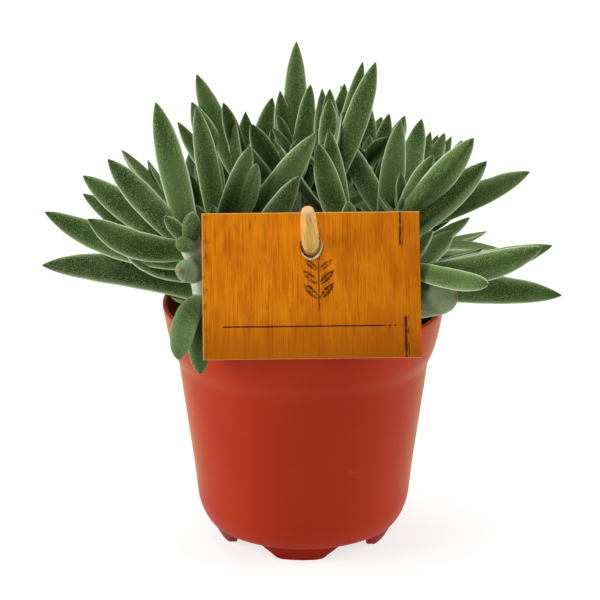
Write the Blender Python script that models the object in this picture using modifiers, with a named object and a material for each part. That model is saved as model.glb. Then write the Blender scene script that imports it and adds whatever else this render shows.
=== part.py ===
"""A potted crassula: leafy shoots in soil in a plastic pot, with a card on a wooden stick.

The design values are in millimetres and the model is built in metres, +Z up.
The origin is on the pot's axis, where its feet stand. The card faces -Y.
"""
import itertools
import math
import random

import bmesh
import bpy
import numpy as np
from mathutils import Matrix, Vector

MM = 0.001
GAP = 0.35
OBJECT_NAME = "potted_crassula"

# The pot: outer profile as (radius, height), rim to heel, then the feet
POT_SIDES = 48
RIM_RADIUS = 60.1
RIM_HEIGHT = 105.0
RIM_LIP = 0.5
WALL = 1.3
HEEL_EXTRA = 0.8
POT_PROFILE = (
    (60.1, 104.3), (59.7, 102.2), (58.2, 94.0), (57.0, 88.4), (56.4, 85.6), (53.8, 80.2),
    (53.3, 77.4), (50.8, 57.9), (47.8, 35.4), (45.9, 18.3), (45.3, 15.2), (44.3, 12.2),
    (43.2, 9.8), (41.9, 7.4))
FOOT_TOP_RADIUS = 40.8
FOOT_TOP = 6.8
FOOT_RADIUS = 37.0
FOOT_INNER_RADIUS = 34.2
BASE_UNDERSIDE = 7.6
BASE_TOP = 9.0
FEET = 5
FEET_TURN = math.radians(-2.3)
NOTCH_REACH = (30.0, 50.0)
NOTCH_LOW = -3.0
NOTCH_TOP = 8.0
NOTCH_HALF_TOP = math.radians(12.0)
NOTCH_HALF_FOOT = math.radians(20.0)
DRAIN_RADIUS = 3.5
DRAIN_CIRCLE = 24.0
DRAIN_SIDES = 12
DRAIN_DEPTH = 15.0

# The soil and the holes that the stems and the stick stand in
SOIL_TOP = 97.0
SOIL_EDGE_DROP = 1.5
SOIL_SIDES = 30
SOIL_RINGS = (10.0, 20.0, 30.0, 40.0, 49.0)
SOIL_FLANKS = (88.4, 85.6, 80.2, 77.4, 18.3)
SOIL_BUMPS = (0.7, 0.5)
HOLE_SIDES = 12
HOLE_TOP = 110.0

# The stems: straight from STEM_FOOT to COLLAR_TOP, curved above, and a bud beyond the crown
STEM_FOOT = 86.0
COLLAR_TOP = 99.0
STEM_BEND = (0.30, 0.30, 0.50)
STEM_SLIM = 0.25
BUD = 4.0
BUD_SHARE = 0.3

# The card, measured from the middle of its lower edge
CARD_WIDTH = 89.0
CARD_HEIGHT = 60.0
CARD_THICK = 0.8
CARD_FOOT = (3.7, -62.2, 101.6)
CARD_LEAN = math.radians(26.0)
CARD_YAW = math.radians(2.0)
CARD_HOLE = (8.6, 11.6)
CARD_HOLE_DROP = 0.6
CARD_HOLE_SIDES = 24

# The stick, from its buried point to its cut end
STICK_FOOT = (9.0, 12.0, 58.0)
STICK_TIP = (1.6, -52.5, 162.0)
STICK_RADIUS = 3.7
STICK_TIP_RADIUS = 2.9
STICK_POINT = (1.2, 14.0)
STICK_TAPER = ((0.3, 0.6), (2.0, 1.0), (14.0, 1.24), (30.0, 1.276))
STICK_SIDES = 16
STICK_IN_SOIL = 70.0

# The leaves: thickness above and below the margins, in widths
LEAF_SIDES = 4
LEAF_TOP = 0.15
LEAF_KEEL = 0.40
FACET_KEEL = 1.1
LEAF_RINGS = (0.0, 0.09, 0.34, 0.62, 0.86, 1.0)
STEM_SIDES_BEVEL = 2

# How the leaves keep clear of each other: gap, furthest back, and the steps that they try
CLEAR = 0.5
BACK_REACH = 72.0
LIFTS = (-10.0, 5.0, 20.0, 35.0)
SWINGS = (0.0, -12.0, 12.0, -24.0, 24.0, -36.0, 36.0, -48.0, 48.0, -60.0, 60.0)
SWING_COST = 0.01
LIFT_COST = 0.02
ROUNDS = 150
EASE = 0.7
LONGEST_STEP = 3.0
STILL = 0.02
OVER_SOIL = 2.0

# Each shoot: where its stem leaves the soil, its crown, its stem radius and its leaves.
# A leaf is (share up the stem, tip x, y, z, width, bow, twist in degrees).
SHOOTS = {
    "shoot_front_left": ((-38, -29.5), (-46.5, -36, 142), 5.3, [
        (0.93, -61, -10, 195, 11.0, 2, 0),
        (0.97, -56, -14, 164, 7.5, 0, 0),
        (1.00, -57, -33, 153, 5.5, 0, 45),
        (1.00, -46, -38, 156, 7.5, 0, 0),
        (1.00, -52, -50, 146, 7.5, 0, 0),
        (0.95, -81, -15, 172, 10.5, 1, 30),
        (0.90, -92, -9, 163, 11.0, 1, 40),
        (0.93, -88, -40, 154, 11.0, 5, 55),
        (0.80, -107, -24, 152, 11.0, 4, 50),
        (0.66, -75, -30, 139, 10.0, 2, 50),
        (0.46, -109, -22, 128, 11.5, -4, 55),
        (0.70, -92, -12, 156, 9.5, 0, 45),
        (0.86, -77, -12, 165, 9.5, 1, 30),
        (0.70, -47, -59, 138, 10.5, 0, 25),
        (0.45, -48, -66, 104, 13.5, -6, 5),
        (0.35, -42, -58, 93, 11.0, -6, 5)]),
    "shoot_left": ((-24, -6), (-38, -14, 143), 4.0, [
        (0.85, -45, 8, 188, 9.0, 1, -25),
        (0.92, -36, 11, 167, 7.0, 1, -30),
        (0.90, -22, -17, 178, 9.0, 1, -70),
        (0.80, -19, -18, 171, 10.0, 1, -65),
        (0.70, 5, -18, 184, 11.0, 1, -65),
        (0.50, 0, -23, 167, 10.0, 1, -70)]),
    "shoot_far_left": ((-36, 10), (-48, 14, 140), 4.0, [
        (0.90, -77, 12, 168, 10.0, 1, 35)]),
    "shoot_back_left": ((-24, 26), (-24, 24, 158), 4.0, [
        (0.80, -46, 42, 193, 9.5, 1, 40),
        (0.90, -34, 18, 187, 7.5, 0, 80),
        (0.60, -57, 27, 178, 11.0, 1, 65),
        (0.85, -11, 39, 183, 8.0, 1, -35),
        (0.75, -34, 56, 166, 10.0, 2, 0),
        (0.65, -62, 45, 160, 10.5, 2, 10)]),
    "shoot_centre": ((-5, 14), (-4, 14, 166), 4.0, [
        (0.75, -3, 36, 209, 9.5, 1, 0),
        (0.90, 3, 18, 195, 7.0, 1, -45),
        (0.97, -11, 16, 182, 5.0, 0, 45),
        (1.00, -13, 10, 178, 4.0, 0, 60),
        (0.70, -24, 17, 177, 9.5, 1, 65),
        (0.80, -9, 60, 174, 10.0, 2, 0),
        (0.60, 10, 52, 178, 9.5, 2, 0)]),
    "shoot_centre_right": ((12, 4), (9, 2, 165), 4.0, [
        (0.80, 30, 2, 209, 10.0, 1, -60),
        (0.90, 16, 8, 186, 9.5, 1, 35),
        (0.85, 11, 17, 189, 8.0, 1, -10),
        (0.70, 12, 22, 192, 8.5, 1, -10),
        (0.65, 18, 24, 194, 9.0, 1, -20),
        (0.75, 27, 12, 206, 8.0, 1, -40)]),
    "shoot_right_back": ((28, 24), (26, 26, 160), 4.0, [
        (0.90, 34, 49, 172, 7.5, 1, -25),
        (0.95, 36, 14, 173, 7.5, 0, 50),
        (0.70, 37, 40, 176, 7.5, 1, -35),
        (0.60, 43, 29, 177, 7.5, 1, -60),
        (0.80, 26, 45, 179, 7.5, 1, 0),
        (0.50, 47, 28, 165, 8.0, 1, -60),
        (0.75, 24, 66, 167, 10.0, 2, 0),
        (0.60, 48, 60, 154, 10.0, 2, 0)]),
    "shoot_right": ((26, -14), (41, -18, 150), 4.0, [
        (0.90, 50, 14, 181, 9.5, 1, 15),
        (0.94, 49, 13, 170, 7.5, 1, 15),
        (0.97, 53, -26, 177, 8.0, 0, 0),
        (1.00, 40, -21, 168, 4.5, 0, 80),
        (0.90, 69, -35, 187, 11.0, 1, 50),
        (0.70, 75, -28, 175, 12.0, 1, 70),
        (0.85, 16, 17, 172, 9.0, 1, 50),
        (0.65, 14, -23, 184, 10.5, 1, 80)]),
    "shoot_front": ((17, -28), (20, -27, 142), 4.0, [
        (0.85, 0, -5, 172, 10.0, 1, 50),
        (0.75, 10, -9, 183, 9.0, 1, 40),
        (0.95, 18, -34, 159, 7.0, 0, -50)]),
    "shoot_front_right": ((34, -26), (43, -34, 134), 4.5, [
        (0.97, 53, -34, 147, 7.5, 0, 20),
        (0.92, 74, -73, 137, 11.0, 1, -60),
        (0.80, 97, -49, 145, 11.0, 4, -60),
        (0.75, 104, -17, 135, 10.0, 2, -45),
        (0.58, 108, -23, 115, 11.0, -2, -55),
        (0.35, 61, -52, 126, 15.0, -2, 80),
        (0.80, 62, 4, 136, 9.0, 1, -15)]),
    "shoot_far_right": ((34, 12), (51, 14, 148), 4.0, [
        (0.70, 96, 10, 159, 10.0, 0, -70),
        (0.90, 67, 10, 173, 7.5, 1, 0),
        (0.92, 61, 38, 168, 7.0, 1, 25),
        (0.85, 58, 38, 167, 7.0, 1, 25),
        (0.75, 73, 45, 150, 8.5, 1, -25),
        (0.50, 88, 36, 115, 10.5, -2, 0),
        (0.45, 86, -6, 128, 10.0, 2, 0)]),
    "shoot_back": ((2, 33), (3, 38, 148), 4.0, []),
    "shoot_low_left": ((-20, 42), (-28, 44, 130), 4.0, []),
    "shoot_low_right": ((24, 40), (33, 42, 132), 4.0, []),
}

# Leaves set by rule, in crossed pairs: heading of the first pair in degrees, share of the
# stem at the first and last pair, number of pairs, first and last length, first and last rise
RULED_WIDTH = (4.0, 0.12)
RULED_BOW = 1.5
RULED_SPREAD = 8.0
RULED_TWIST = 15.0
PAIRS = {
    "shoot_far_left": (165.0, 0.35, 1.0, 7, 52.0, 18.0, 10.0, 74.0),
    "shoot_back": (38.0, 0.25, 1.0, 7, 56.0, 18.0, -2.0, 74.0),
    "shoot_low_left": (40.0, 0.25, 1.0, 7, 52.0, 16.0, -2.0, 72.0),
    "shoot_low_right": (50.0, 0.25, 1.0, 7, 54.0, 16.0, -2.0, 72.0),
    "shoot_left": (60.0, 0.22, 0.55, 3, 36.0, 42.0, 6.0, 24.0),
    "shoot_back_left": (100.0, 0.28, 0.66, 3, 46.0, 42.0, 8.0, 34.0),
    "shoot_centre": (80.0, 0.26, 0.66, 3, 42.0, 42.0, 8.0, 36.0),
    "shoot_centre_right": (30.0, 0.26, 0.66, 3, 40.0, 40.0, 8.0, 36.0),
    "shoot_right_back": (80.0, 0.28, 0.66, 3, 46.0, 42.0, 6.0, 32.0),
    "shoot_right": (20.0, 0.22, 0.55, 3, 38.0, 42.0, 4.0, 26.0),
    "shoot_front": (50.0, 0.30, 0.60, 2, 32.0, 34.0, 8.0, 25.0),
    "shoot_front_right": (45.0, 0.22, 0.50, 3, 34.0, 36.0, 3.0, 20.0),
    "shoot_far_right": (0.0, 0.22, 0.55, 3, 44.0, 46.0, 4.0, 26.0),
}


def unit(vector):
    return vector / np.linalg.norm(vector)


def stem_point(foot, top, share):
    """Place on a stem's curve, from just above the soil (0) to the crown (1)."""
    low = np.array([foot[0], foot[1], COLLAR_TOP], float)
    high = np.array(top, float)
    middle = low + (high - low) * np.array(STEM_BEND)
    return (1 - share) ** 2 * low + 2 * share * (1 - share) * middle + share ** 2 * high


def heading_way(heading, rise):
    """Direction from a heading and a rise in degrees."""
    flat = math.cos(math.radians(rise))
    return np.array([math.cos(math.radians(heading)) * flat,
                     math.sin(math.radians(heading)) * flat,
                     math.sin(math.radians(rise))])


def stem_way(foot, top, share):
    """Direction of a stem at a share of its height."""
    above = stem_point(foot, top, min(share + 0.05, 1.0))
    return unit(above - stem_point(foot, top, share - 0.05))


def leaf_outline(share):
    """Half width of a leaf that is 1 wide, from its base (0) to its tip (1)."""
    share = np.asarray(share, float)
    base = 0.64 + 0.36 * np.sin(0.5 * np.pi * np.clip(share / 0.5, 0, 1))
    tip = 1.0 - np.clip((share - 0.5) / 0.5, 0, 1) ** 2.6
    return 0.5 * base * tip


class Leaf:
    """One leaf: a root on its stem, a tip, a width, a bow along it and a twist about it."""

    def __init__(self, shoot, share, tip, width, bow, twist):
        foot, top = SHOOTS[shoot][:2]
        self.shoot = shoot
        self.root = stem_point(foot, top, share)
        self.up = stem_way(foot, top, share)
        self.tip = np.array(tip, float)
        self.width = width
        self.bow = bow
        self.twist = math.radians(twist)
        self.length = float(np.linalg.norm(self.tip - self.root))

    def place(self, share, across, lift):
        """Points at shares of the length, across in half widths and lift in widths."""
        chord = self.tip - self.root
        along = unit(chord)
        flat = unit(np.cross(along, self.up))
        upper = np.cross(flat, along)
        side = math.cos(self.twist) * flat + math.sin(self.twist) * upper
        face = np.cross(side, along)
        share = np.asarray(share, float)[:, None]
        width = 2.0 * leaf_outline(share) * self.width
        sag = 4.0 * self.bow * share * (1.0 - share)
        across = np.asarray(across, float)[:, None]
        lift = np.asarray(lift, float)[:, None]
        spine = self.root + share * chord - sag * upper
        return spine + 0.5 * width * across * side + width * lift * face


def placed_leaves():
    """The leaves that are placed one by one."""
    leaves = []
    for shoot, (foot, top, radius, rows) in SHOOTS.items():
        for share, x, y, z, width, bow, twist in rows:
            leaves.append(Leaf(shoot, share, (x, y, z), width, bow, twist))
    return leaves


BEAD_SHARES = np.linspace(0.12, 0.97, 15)
BEAD_ACROSS = np.array([-0.78, -0.4, 0.0, 0.4, 0.78])
BEAD_MARGIN = 0.15


def leaf_beads(leaf):
    """Small spheres that fill a leaf, to judge what it touches."""
    share = np.repeat(BEAD_SHARES, len(BEAD_ACROSS))
    across = np.tile(BEAD_ACROSS, len(BEAD_SHARES))
    swell = np.sqrt(1.0 - across ** 2)
    lift = 0.5 * (LEAF_TOP - LEAF_KEEL) * swell
    radius = (LEAF_TOP + LEAF_KEEL) * swell * leaf_outline(share) * leaf.width
    return leaf.place(share, across, lift), radius + BEAD_MARGIN


def fixed_beads():
    """Spheres along the stems, the stick, the card and the rim, and whose each is."""
    places = []
    radii = []
    owners = []

    def add(place, radius, owner):
        places.append(place)
        radii.append(radius)
        owners.append(owner)

    for shoot, (foot, top, radius, rows) in SHOOTS.items():
        for share in np.linspace(0.0, 1.0, 14):
            add(stem_point(foot, top, share), radius, shoot)
    for share in np.linspace(0.0, 1.0, 40):
        add(np.array(STICK_FOOT) * (1 - share) + np.array(STICK_TIP) * share, STICK_RADIUS, "stick")
    right, up, out = card_axes()
    for across in np.linspace(-0.5, 0.5, 46):
        for rise in np.linspace(0.0, 1.0, 31):
            place = np.array(CARD_FOOT) + across * CARD_WIDTH * right + rise * CARD_HEIGHT * up
            add(place, CARD_THICK, "card")
    for turn in np.linspace(0.0, 2.0 * math.pi, 181)[:-1]:
        for drop in np.arange(0.0, 20.0, 3.0):
            reach = RIM_RADIUS - 0.8 - 0.12 * drop
            height = RIM_HEIGHT - 1.0 - drop
            add(np.array([reach * math.cos(turn), reach * math.sin(turn), height]), WALL, "pot")
    return np.array(places), np.array(radii), np.array(owners)


def deepest(places, radii, others, other_radii):
    """How far two clouds of spheres overlap at their worst, where, and which way is out."""
    between = places[:, None, :] - others[None, :, :]
    apart = np.linalg.norm(between, axis=2)
    depth = radii[:, None] + other_radii[None, :] + CLEAR - apart
    first, second = np.unravel_index(np.argmax(depth), depth.shape)
    way = between[first, second] / max(apart[first, second], 1e-6)
    return depth[first, second], first, second, way


def rival_beads(shoot, leaves, fixed, fixed_radii, owners):
    """The spheres of all that isn't part of one shoot."""
    clouds = [leaf_beads(leaf) for leaf in leaves if leaf.shoot != shoot]
    rivals = owners != shoot
    places = np.vstack([fixed[rivals]] + [cloud[0] for cloud in clouds])
    radii = np.concatenate([fixed_radii[rivals]] + [cloud[1] for cloud in clouds])
    return places, radii


def paired_leaves(placed):
    """The leaves that follow the plant's rule: pairs, each at right angles to the last.

    A leaf may turn or lift a little from its rule, to where it has the most room.
    """
    leaves = list(placed)
    fixed, fixed_radii, owners = fixed_beads()
    for shoot, (heading, first, last, pairs, long, short, low, high) in PAIRS.items():
        foot, top = SHOOTS[shoot][:2]
        chance = random.Random(shoot)
        for pair in range(pairs):
            age = pair / (pairs - 1)
            share = first + (last - first) * age
            length = long + (short - long) * age ** 2
            rise = low + (high - low) * age ** 1.2
            for half in (0, 1):
                turn = heading + 90.0 * pair + 180.0 * half
                turn += chance.uniform(-RULED_SPREAD, RULED_SPREAD)
                size = length * chance.uniform(0.94, 1.06)
                width = RULED_WIDTH[0] + RULED_WIDTH[1] * size
                twist = chance.uniform(-RULED_TWIST, RULED_TWIST)
                others, other_radii = rival_beads(shoot, leaves, fixed, fixed_radii, owners)
                best = None
                for lift, swing in itertools.product(LIFTS, SWINGS):
                    way = heading_way(turn + swing, rise + lift)
                    tip = stem_point(foot, top, share) + size * way
                    tip[1] = min(tip[1], BACK_REACH)
                    leaf = Leaf(shoot, share, tip, width, RULED_BOW, twist)
                    places, radii = leaf_beads(leaf)
                    reach = np.linalg.norm(others - (leaf.root + leaf.tip) / 2.0, axis=1)
                    near = reach < 0.5 * size + 12.0
                    depth = -CLEAR
                    if near.any():
                        spine = slice(2, None, len(BEAD_ACROSS))
                        depth = deepest(places[spine], radii[spine], others[near], other_radii[near])[0]
                    cost = max(depth, -CLEAR) + SWING_COST * abs(swing) + LIFT_COST * abs(lift)
                    if best is None or cost < best[0]:
                        best = (cost, leaf)
                leaves.append(best[1])
    return leaves


def settle(leaves):
    """Swing the leaves about their roots until those of different shoots are clear."""
    fixed, fixed_radii, owners = fixed_beads()
    for turn in range(ROUNDS):
        clouds = [leaf_beads(leaf) for leaf in leaves]
        low = np.array([(places - radii[:, None]).min(axis=0) for places, radii in clouds]) - CLEAR
        high = np.array([(places + radii[:, None]).max(axis=0) for places, radii in clouds]) + CLEAR
        push = np.zeros((len(leaves), 3))
        worst = 0.0
        for i, leaf in enumerate(leaves):
            places, radii = clouds[i]
            near = np.all((low <= high[i]) & (high >= low[i]), axis=1)
            for j in np.nonzero(near)[0]:
                if j <= i or leaves[j].shoot == leaf.shoot:
                    continue
                depth, first, second, way = deepest(places, radii, *clouds[j])
                if depth > 0.0:
                    worst = max(worst, depth)
                    push[i] += 0.5 * depth * way / max(BEAD_SHARES[first // 5], 0.3)
                    push[j] -= 0.5 * depth * way / max(BEAD_SHARES[second // 5], 0.3)
            inside = np.all((fixed >= low[i] - 5.0) & (fixed <= high[i] + 5.0), axis=1)
            inside &= owners != leaf.shoot
            if inside.any():
                depth, first, second, way = deepest(places, radii, fixed[inside], fixed_radii[inside])
                if depth > 0.0:
                    worst = max(worst, depth)
                    push[i] += depth * way / max(BEAD_SHARES[first // 5], 0.3)
            over_soil = np.hypot(places[:, 0], places[:, 1]) < RIM_RADIUS - 3.0
            if over_soil.any():
                height = (places[:, 2] - radii)[over_soil].min() - (SOIL_TOP + OVER_SOIL)
                push[i][2] -= min(height, 0.0)
        for leaf, step in zip(leaves, push):
            size = np.linalg.norm(step)
            if size > 0.0:
                step = EASE * step * min(1.0, LONGEST_STEP / size)
                leaf.tip = leaf.root + leaf.length * unit(leaf.tip + step - leaf.root)
        if worst < STILL:
            break
    return leaves


def with_room(leaves, placed):
    """The leaves without those set by rule that still touch another shoot."""
    fixed, fixed_radii, owners = fixed_beads()
    kept = []
    for number, leaf in enumerate(leaves):
        others, other_radii = rival_beads(leaf.shoot, leaves, fixed, fixed_radii, owners)
        places, radii = leaf_beads(leaf)
        depth = deepest(places, radii, others, other_radii)[0] - CLEAR
        if number < placed or depth < 0.0:
            kept.append(leaf)
    return kept


def grow_leaves():
    """All leaves of the plant, clear of each other and of what stands between them."""
    placed = placed_leaves()
    return with_room(settle(paired_leaves(placed)), len(placed))


def card_axes():
    """The card's directions: along its lower edge, up its face, and out of its front."""
    right = np.array([math.cos(CARD_YAW), math.sin(CARD_YAW), 0.0])
    back = np.array([-math.sin(CARD_YAW), math.cos(CARD_YAW), 0.0])
    up = math.sin(CARD_LEAN) * back + math.cos(CARD_LEAN) * np.array([0.0, 0.0, 1.0])
    return right, up, np.cross(right, up)


def clear_scene():
    for thing in list(bpy.data.objects):
        bpy.data.objects.remove(thing, do_unlink=True)


def new_collection(name):
    collection = bpy.data.collections.new(name)
    bpy.context.scene.collection.children.link(collection)
    return collection


def new_material(name, colour, roughness):
    material = bpy.data.materials.new(name)
    material.use_nodes = True
    shader = material.node_tree.nodes["Principled BSDF"]
    shader.inputs["Base Color"].default_value = (*colour, 1.0)
    shader.inputs["Roughness"].default_value = roughness
    shader.inputs["Metallic"].default_value = 0.0
    return material


def new_object(name, shape, collection, material=None):
    """An object from a bmesh, which is freed."""
    mesh = bpy.data.meshes.new(name)
    shape.to_mesh(mesh)
    shape.free()
    thing = bpy.data.objects.new(name, mesh)
    collection.objects.link(thing)
    if material:
        mesh.materials.append(material)
    return thing


def smooth(thing, angle=40.0):
    thing.data.shade_smooth()
    thing.data.set_sharp_from_angle(angle=math.radians(angle))


def bake(thing):
    """Replace an object's mesh by its evaluated one and drop its modifiers."""
    bpy.context.view_layer.update()
    graph = bpy.context.evaluated_depsgraph_get()
    mesh = bpy.data.meshes.new_from_object(thing.evaluated_get(graph))
    old = thing.data
    thing.modifiers.clear()
    if thing.type == "MESH":
        thing.data = mesh
        bpy.data.meshes.remove(old)
        return thing
    solid = bpy.data.objects.new(thing.name + "_solid", mesh)
    solid.matrix_world = thing.matrix_world
    for collection in thing.users_collection:
        collection.objects.link(solid)
    bpy.data.objects.remove(thing)
    shape = bmesh.new()
    shape.from_mesh(mesh)
    bmesh.ops.remove_doubles(shape, verts=shape.verts, dist=0.00001)
    shape.to_mesh(mesh)
    shape.free()
    return solid


def turned(name, profile, sides, collection, material=None):
    """A round piece: a profile of (radius, height) in mm, down its outer side, screwed."""
    shape = bmesh.new()
    verts = [shape.verts.new((radius * MM, 0.0, height * MM)) for radius, height in profile]
    for first, second in zip(verts, verts[1:]):
        shape.edges.new((first, second))
    thing = new_object(name, shape, collection, material)
    screw = thing.modifiers.new("Screw", "SCREW")
    screw.steps = sides
    screw.render_steps = sides
    screw.use_merge_vertices = True
    screw.merge_threshold = 0.00002
    return thing


def cut(thing, cutter):
    """Take a cutter's shape out of an object."""
    boolean = thing.modifiers.new("Cut " + cutter.name, "BOOLEAN")
    boolean.operation = "DIFFERENCE"
    boolean.solver = "EXACT"
    boolean.object = cutter
    cutter.hide_render = True
    cutter.display_type = "WIRE"


def rod_cutter(name, low, high, radius, sides, collection):
    """A round cutter between two points in mm."""
    low = Vector(low) * MM
    high = Vector(high) * MM
    shape = bmesh.new()
    bmesh.ops.create_cone(shape, cap_ends=True, segments=sides, radius1=radius * MM,
                          radius2=radius * MM, depth=(high - low).length)
    thing = new_object(name, shape, collection)
    thing.location = (low + high) / 2.0
    thing.rotation_mode = "QUATERNION"
    thing.rotation_quaternion = (high - low).to_track_quat("Z", "Y")
    return thing


def outer_radius(height):
    """The pot's outer radius at a height, from its profile."""
    heights = [row[1] for row in POT_PROFILE][::-1]
    radii = [row[0] for row in POT_PROFILE][::-1]
    return float(np.interp(height, heights, radii))


def make_pot(collection, cutters, material):
    """A thin-walled pot with a stepped collar, a flat base and five feet."""
    inner = [(radius - WALL, height) for radius, height in POT_PROFILE[::-1] if height > BASE_TOP + 1.0]
    profile = [(0.0, BASE_TOP), (outer_radius(BASE_TOP) - WALL - HEEL_EXTRA, BASE_TOP), *inner]
    profile += [(RIM_RADIUS - WALL + 0.2, RIM_HEIGHT), (RIM_RADIUS - RIM_LIP, RIM_HEIGHT)]
    profile += list(POT_PROFILE)
    profile += [(FOOT_TOP_RADIUS, FOOT_TOP), (FOOT_RADIUS, 0.0), (FOOT_INNER_RADIUS, 0.0)]
    profile += [(FOOT_TOP_RADIUS - 2.8, BASE_UNDERSIDE), (0.0, BASE_UNDERSIDE)]
    pot = turned("pot", profile, POT_SIDES, collection, material)
    for foot in range(FEET):
        turn = FEET_TURN - 0.5 * math.pi + (foot + 0.5) * 2.0 * math.pi / FEET
        near, far = NOTCH_REACH
        middle = 0.5 * (near + far)
        shape = bmesh.new()
        bmesh.ops.create_cube(shape, size=1.0)
        for vert in shape.verts:
            half = NOTCH_HALF_TOP if vert.co.z > 0.0 else NOTCH_HALF_FOOT
            height = NOTCH_TOP if vert.co.z > 0.0 else NOTCH_LOW
            reach = middle + (far - near) * vert.co.x
            side = 2.0 * vert.co.y * middle * math.tan(half)
            vert.co = Vector((reach, side, height)) * MM
        notch = new_object("notch_%d" % foot, shape, cutters)
        notch.rotation_euler = (0.0, 0.0, turn)
        cut(pot, notch)
        turn += math.pi / FEET
        spot = Vector((DRAIN_CIRCLE * math.cos(turn), DRAIN_CIRCLE * math.sin(turn), 0.0))
        high = spot + Vector((0.0, 0.0, DRAIN_DEPTH))
        drain = rod_cutter("drain_%d" % foot, spot, high, DRAIN_RADIUS, DRAIN_SIDES, cutters)
        cut(pot, drain)
    smooth(pot)
    return pot


def make_soil(collection, cutters, material):
    """The soil, rough on top, with a plain hole for each stem and for the stick."""
    shoulder = SOIL_TOP - SOIL_EDGE_DROP
    profile = [(0.0, SOIL_TOP)]
    profile += [(reach, SOIL_TOP) for reach in SOIL_RINGS]
    profile += [(outer_radius(z) - WALL - GAP, z) for z in (shoulder, *SOIL_FLANKS)]
    profile += [(outer_radius(BASE_TOP) - WALL - 2.0 * HEEL_EXTRA, BASE_TOP + GAP), (0.0, BASE_TOP + GAP)]
    soil = bake(turned("soil", profile, SOIL_SIDES, collection, material))
    for vert in soil.data.vertices:
        x, y = vert.co.x / MM, vert.co.y / MM
        reach = math.hypot(x, y)
        if vert.co.z > (SOIL_TOP - 0.5) * MM and reach < SOIL_RINGS[-1] + 1.0:
            bump = SOIL_BUMPS[0] * math.sin(0.31 * x + 1.0) * math.cos(0.27 * y)
            bump += SOIL_BUMPS[1] * math.sin(0.55 * y + 0.4 * x)
            vert.co.z += bump * MM
    for shoot, (foot, top, radius, rows) in SHOOTS.items():
        low = (foot[0], foot[1], STEM_FOOT - GAP)
        high = (foot[0], foot[1], HOLE_TOP)
        wide = (radius + GAP) / math.cos(math.pi / HOLE_SIDES)
        cut(soil, rod_cutter("hole_" + shoot, low, high, wide, HOLE_SIDES, cutters))
    low, high = Vector(STICK_FOOT), Vector(STICK_TIP)
    way = (high - low).normalized()
    wide = STICK_RADIUS + 2.0 * GAP
    cut(soil, rod_cutter("hole_stick", low - way, low + way * STICK_IN_SOIL, wide, STICK_SIDES, cutters))
    smooth(soil)
    return soil


def make_stick(collection, material):
    """A whittled stick with a blunt cut end, pushed slantwise into the soil."""
    low, high = Vector(STICK_FOOT), Vector(STICK_TIP)
    length = (high - low).length
    profile = [(0.0, length)]
    profile += [(part * STICK_TIP_RADIUS, length - down) for down, part in STICK_TAPER]
    profile += [(STICK_RADIUS, STICK_POINT[1]), (STICK_POINT[0], 0.0), (0.0, 0.0)]
    stick = turned("stick", profile, STICK_SIDES, collection, material)
    stick.location = low * MM
    stick.rotation_mode = "QUATERNION"
    stick.rotation_quaternion = (high - low).to_track_quat("Z", "Y")
    smooth(stick)
    return stick


def make_card(collection, cutters, material):
    """A stiff printed card that hangs on the stick by its hole and leans on the rim."""
    right, up, out = (Vector(axis) for axis in card_axes())
    shape = bmesh.new()
    bmesh.ops.create_cube(shape, size=1.0)
    bmesh.ops.scale(shape, vec=Vector((CARD_WIDTH, CARD_HEIGHT, CARD_THICK)) * MM, verts=shape.verts)
    bmesh.ops.translate(shape, vec=Vector((0.0, 0.5 * CARD_HEIGHT, 0.0)) * MM, verts=shape.verts)
    card = new_object("card", shape, collection, material)
    place = Matrix((right, up, out)).transposed().to_4x4()
    place.translation = Vector(CARD_FOOT) * MM
    card.matrix_world = place
    low, high = Vector(STICK_FOOT), Vector(STICK_TIP)
    way = (high - low).normalized()
    foot = Vector(CARD_FOOT)
    meet = low + way * ((foot - low).dot(out) / way.dot(out))
    hole_x = (meet - foot).dot(right)
    hole_y = (meet - foot).dot(up) - CARD_HOLE_DROP
    shape = bmesh.new()
    bmesh.ops.create_cone(shape, cap_ends=True, segments=CARD_HOLE_SIDES, radius1=0.5 * MM,
                          radius2=0.5 * MM, depth=6.0 * MM)
    bmesh.ops.scale(shape, vec=(CARD_HOLE[0], CARD_HOLE[1], 1.0), verts=shape.verts)
    bmesh.ops.translate(shape, vec=Vector((hole_x, hole_y, 0.0)) * MM, verts=shape.verts)
    hole = new_object("hole_card", shape, cutters)
    hole.matrix_world = place
    cut(card, hole)
    return card


def make_leaf(leaf, collection, material):
    """One leaf from a sphere: its rings follow the leaf's curve, flat above and keeled below."""
    rings = len(LEAF_RINGS) - 1
    shape = bmesh.new()
    bmesh.ops.create_uvsphere(shape, u_segments=LEAF_SIDES, v_segments=rings, radius=1.0)
    share = []
    across = []
    lift = []
    for vert in shape.verts:
        ring = round(rings * math.acos(max(-1.0, min(1.0, vert.co.z))) / math.pi)
        turn = math.atan2(vert.co.y, vert.co.x)
        out = 0.0 if ring in (0, rings) else 1.0
        share.append(LEAF_RINGS[rings - ring])
        across.append(out * math.cos(turn))
        deep = LEAF_TOP if math.sin(turn) > 0.0 else FACET_KEEL * LEAF_KEEL
        lift.append(out * math.sin(turn) * deep)
    for vert, place in zip(shape.verts, leaf.place(share, across, lift)):
        vert.co = Vector(place) * MM
    bmesh.ops.recalc_face_normals(shape, faces=shape.faces)
    return new_object("leaf", shape, collection, material)


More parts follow.
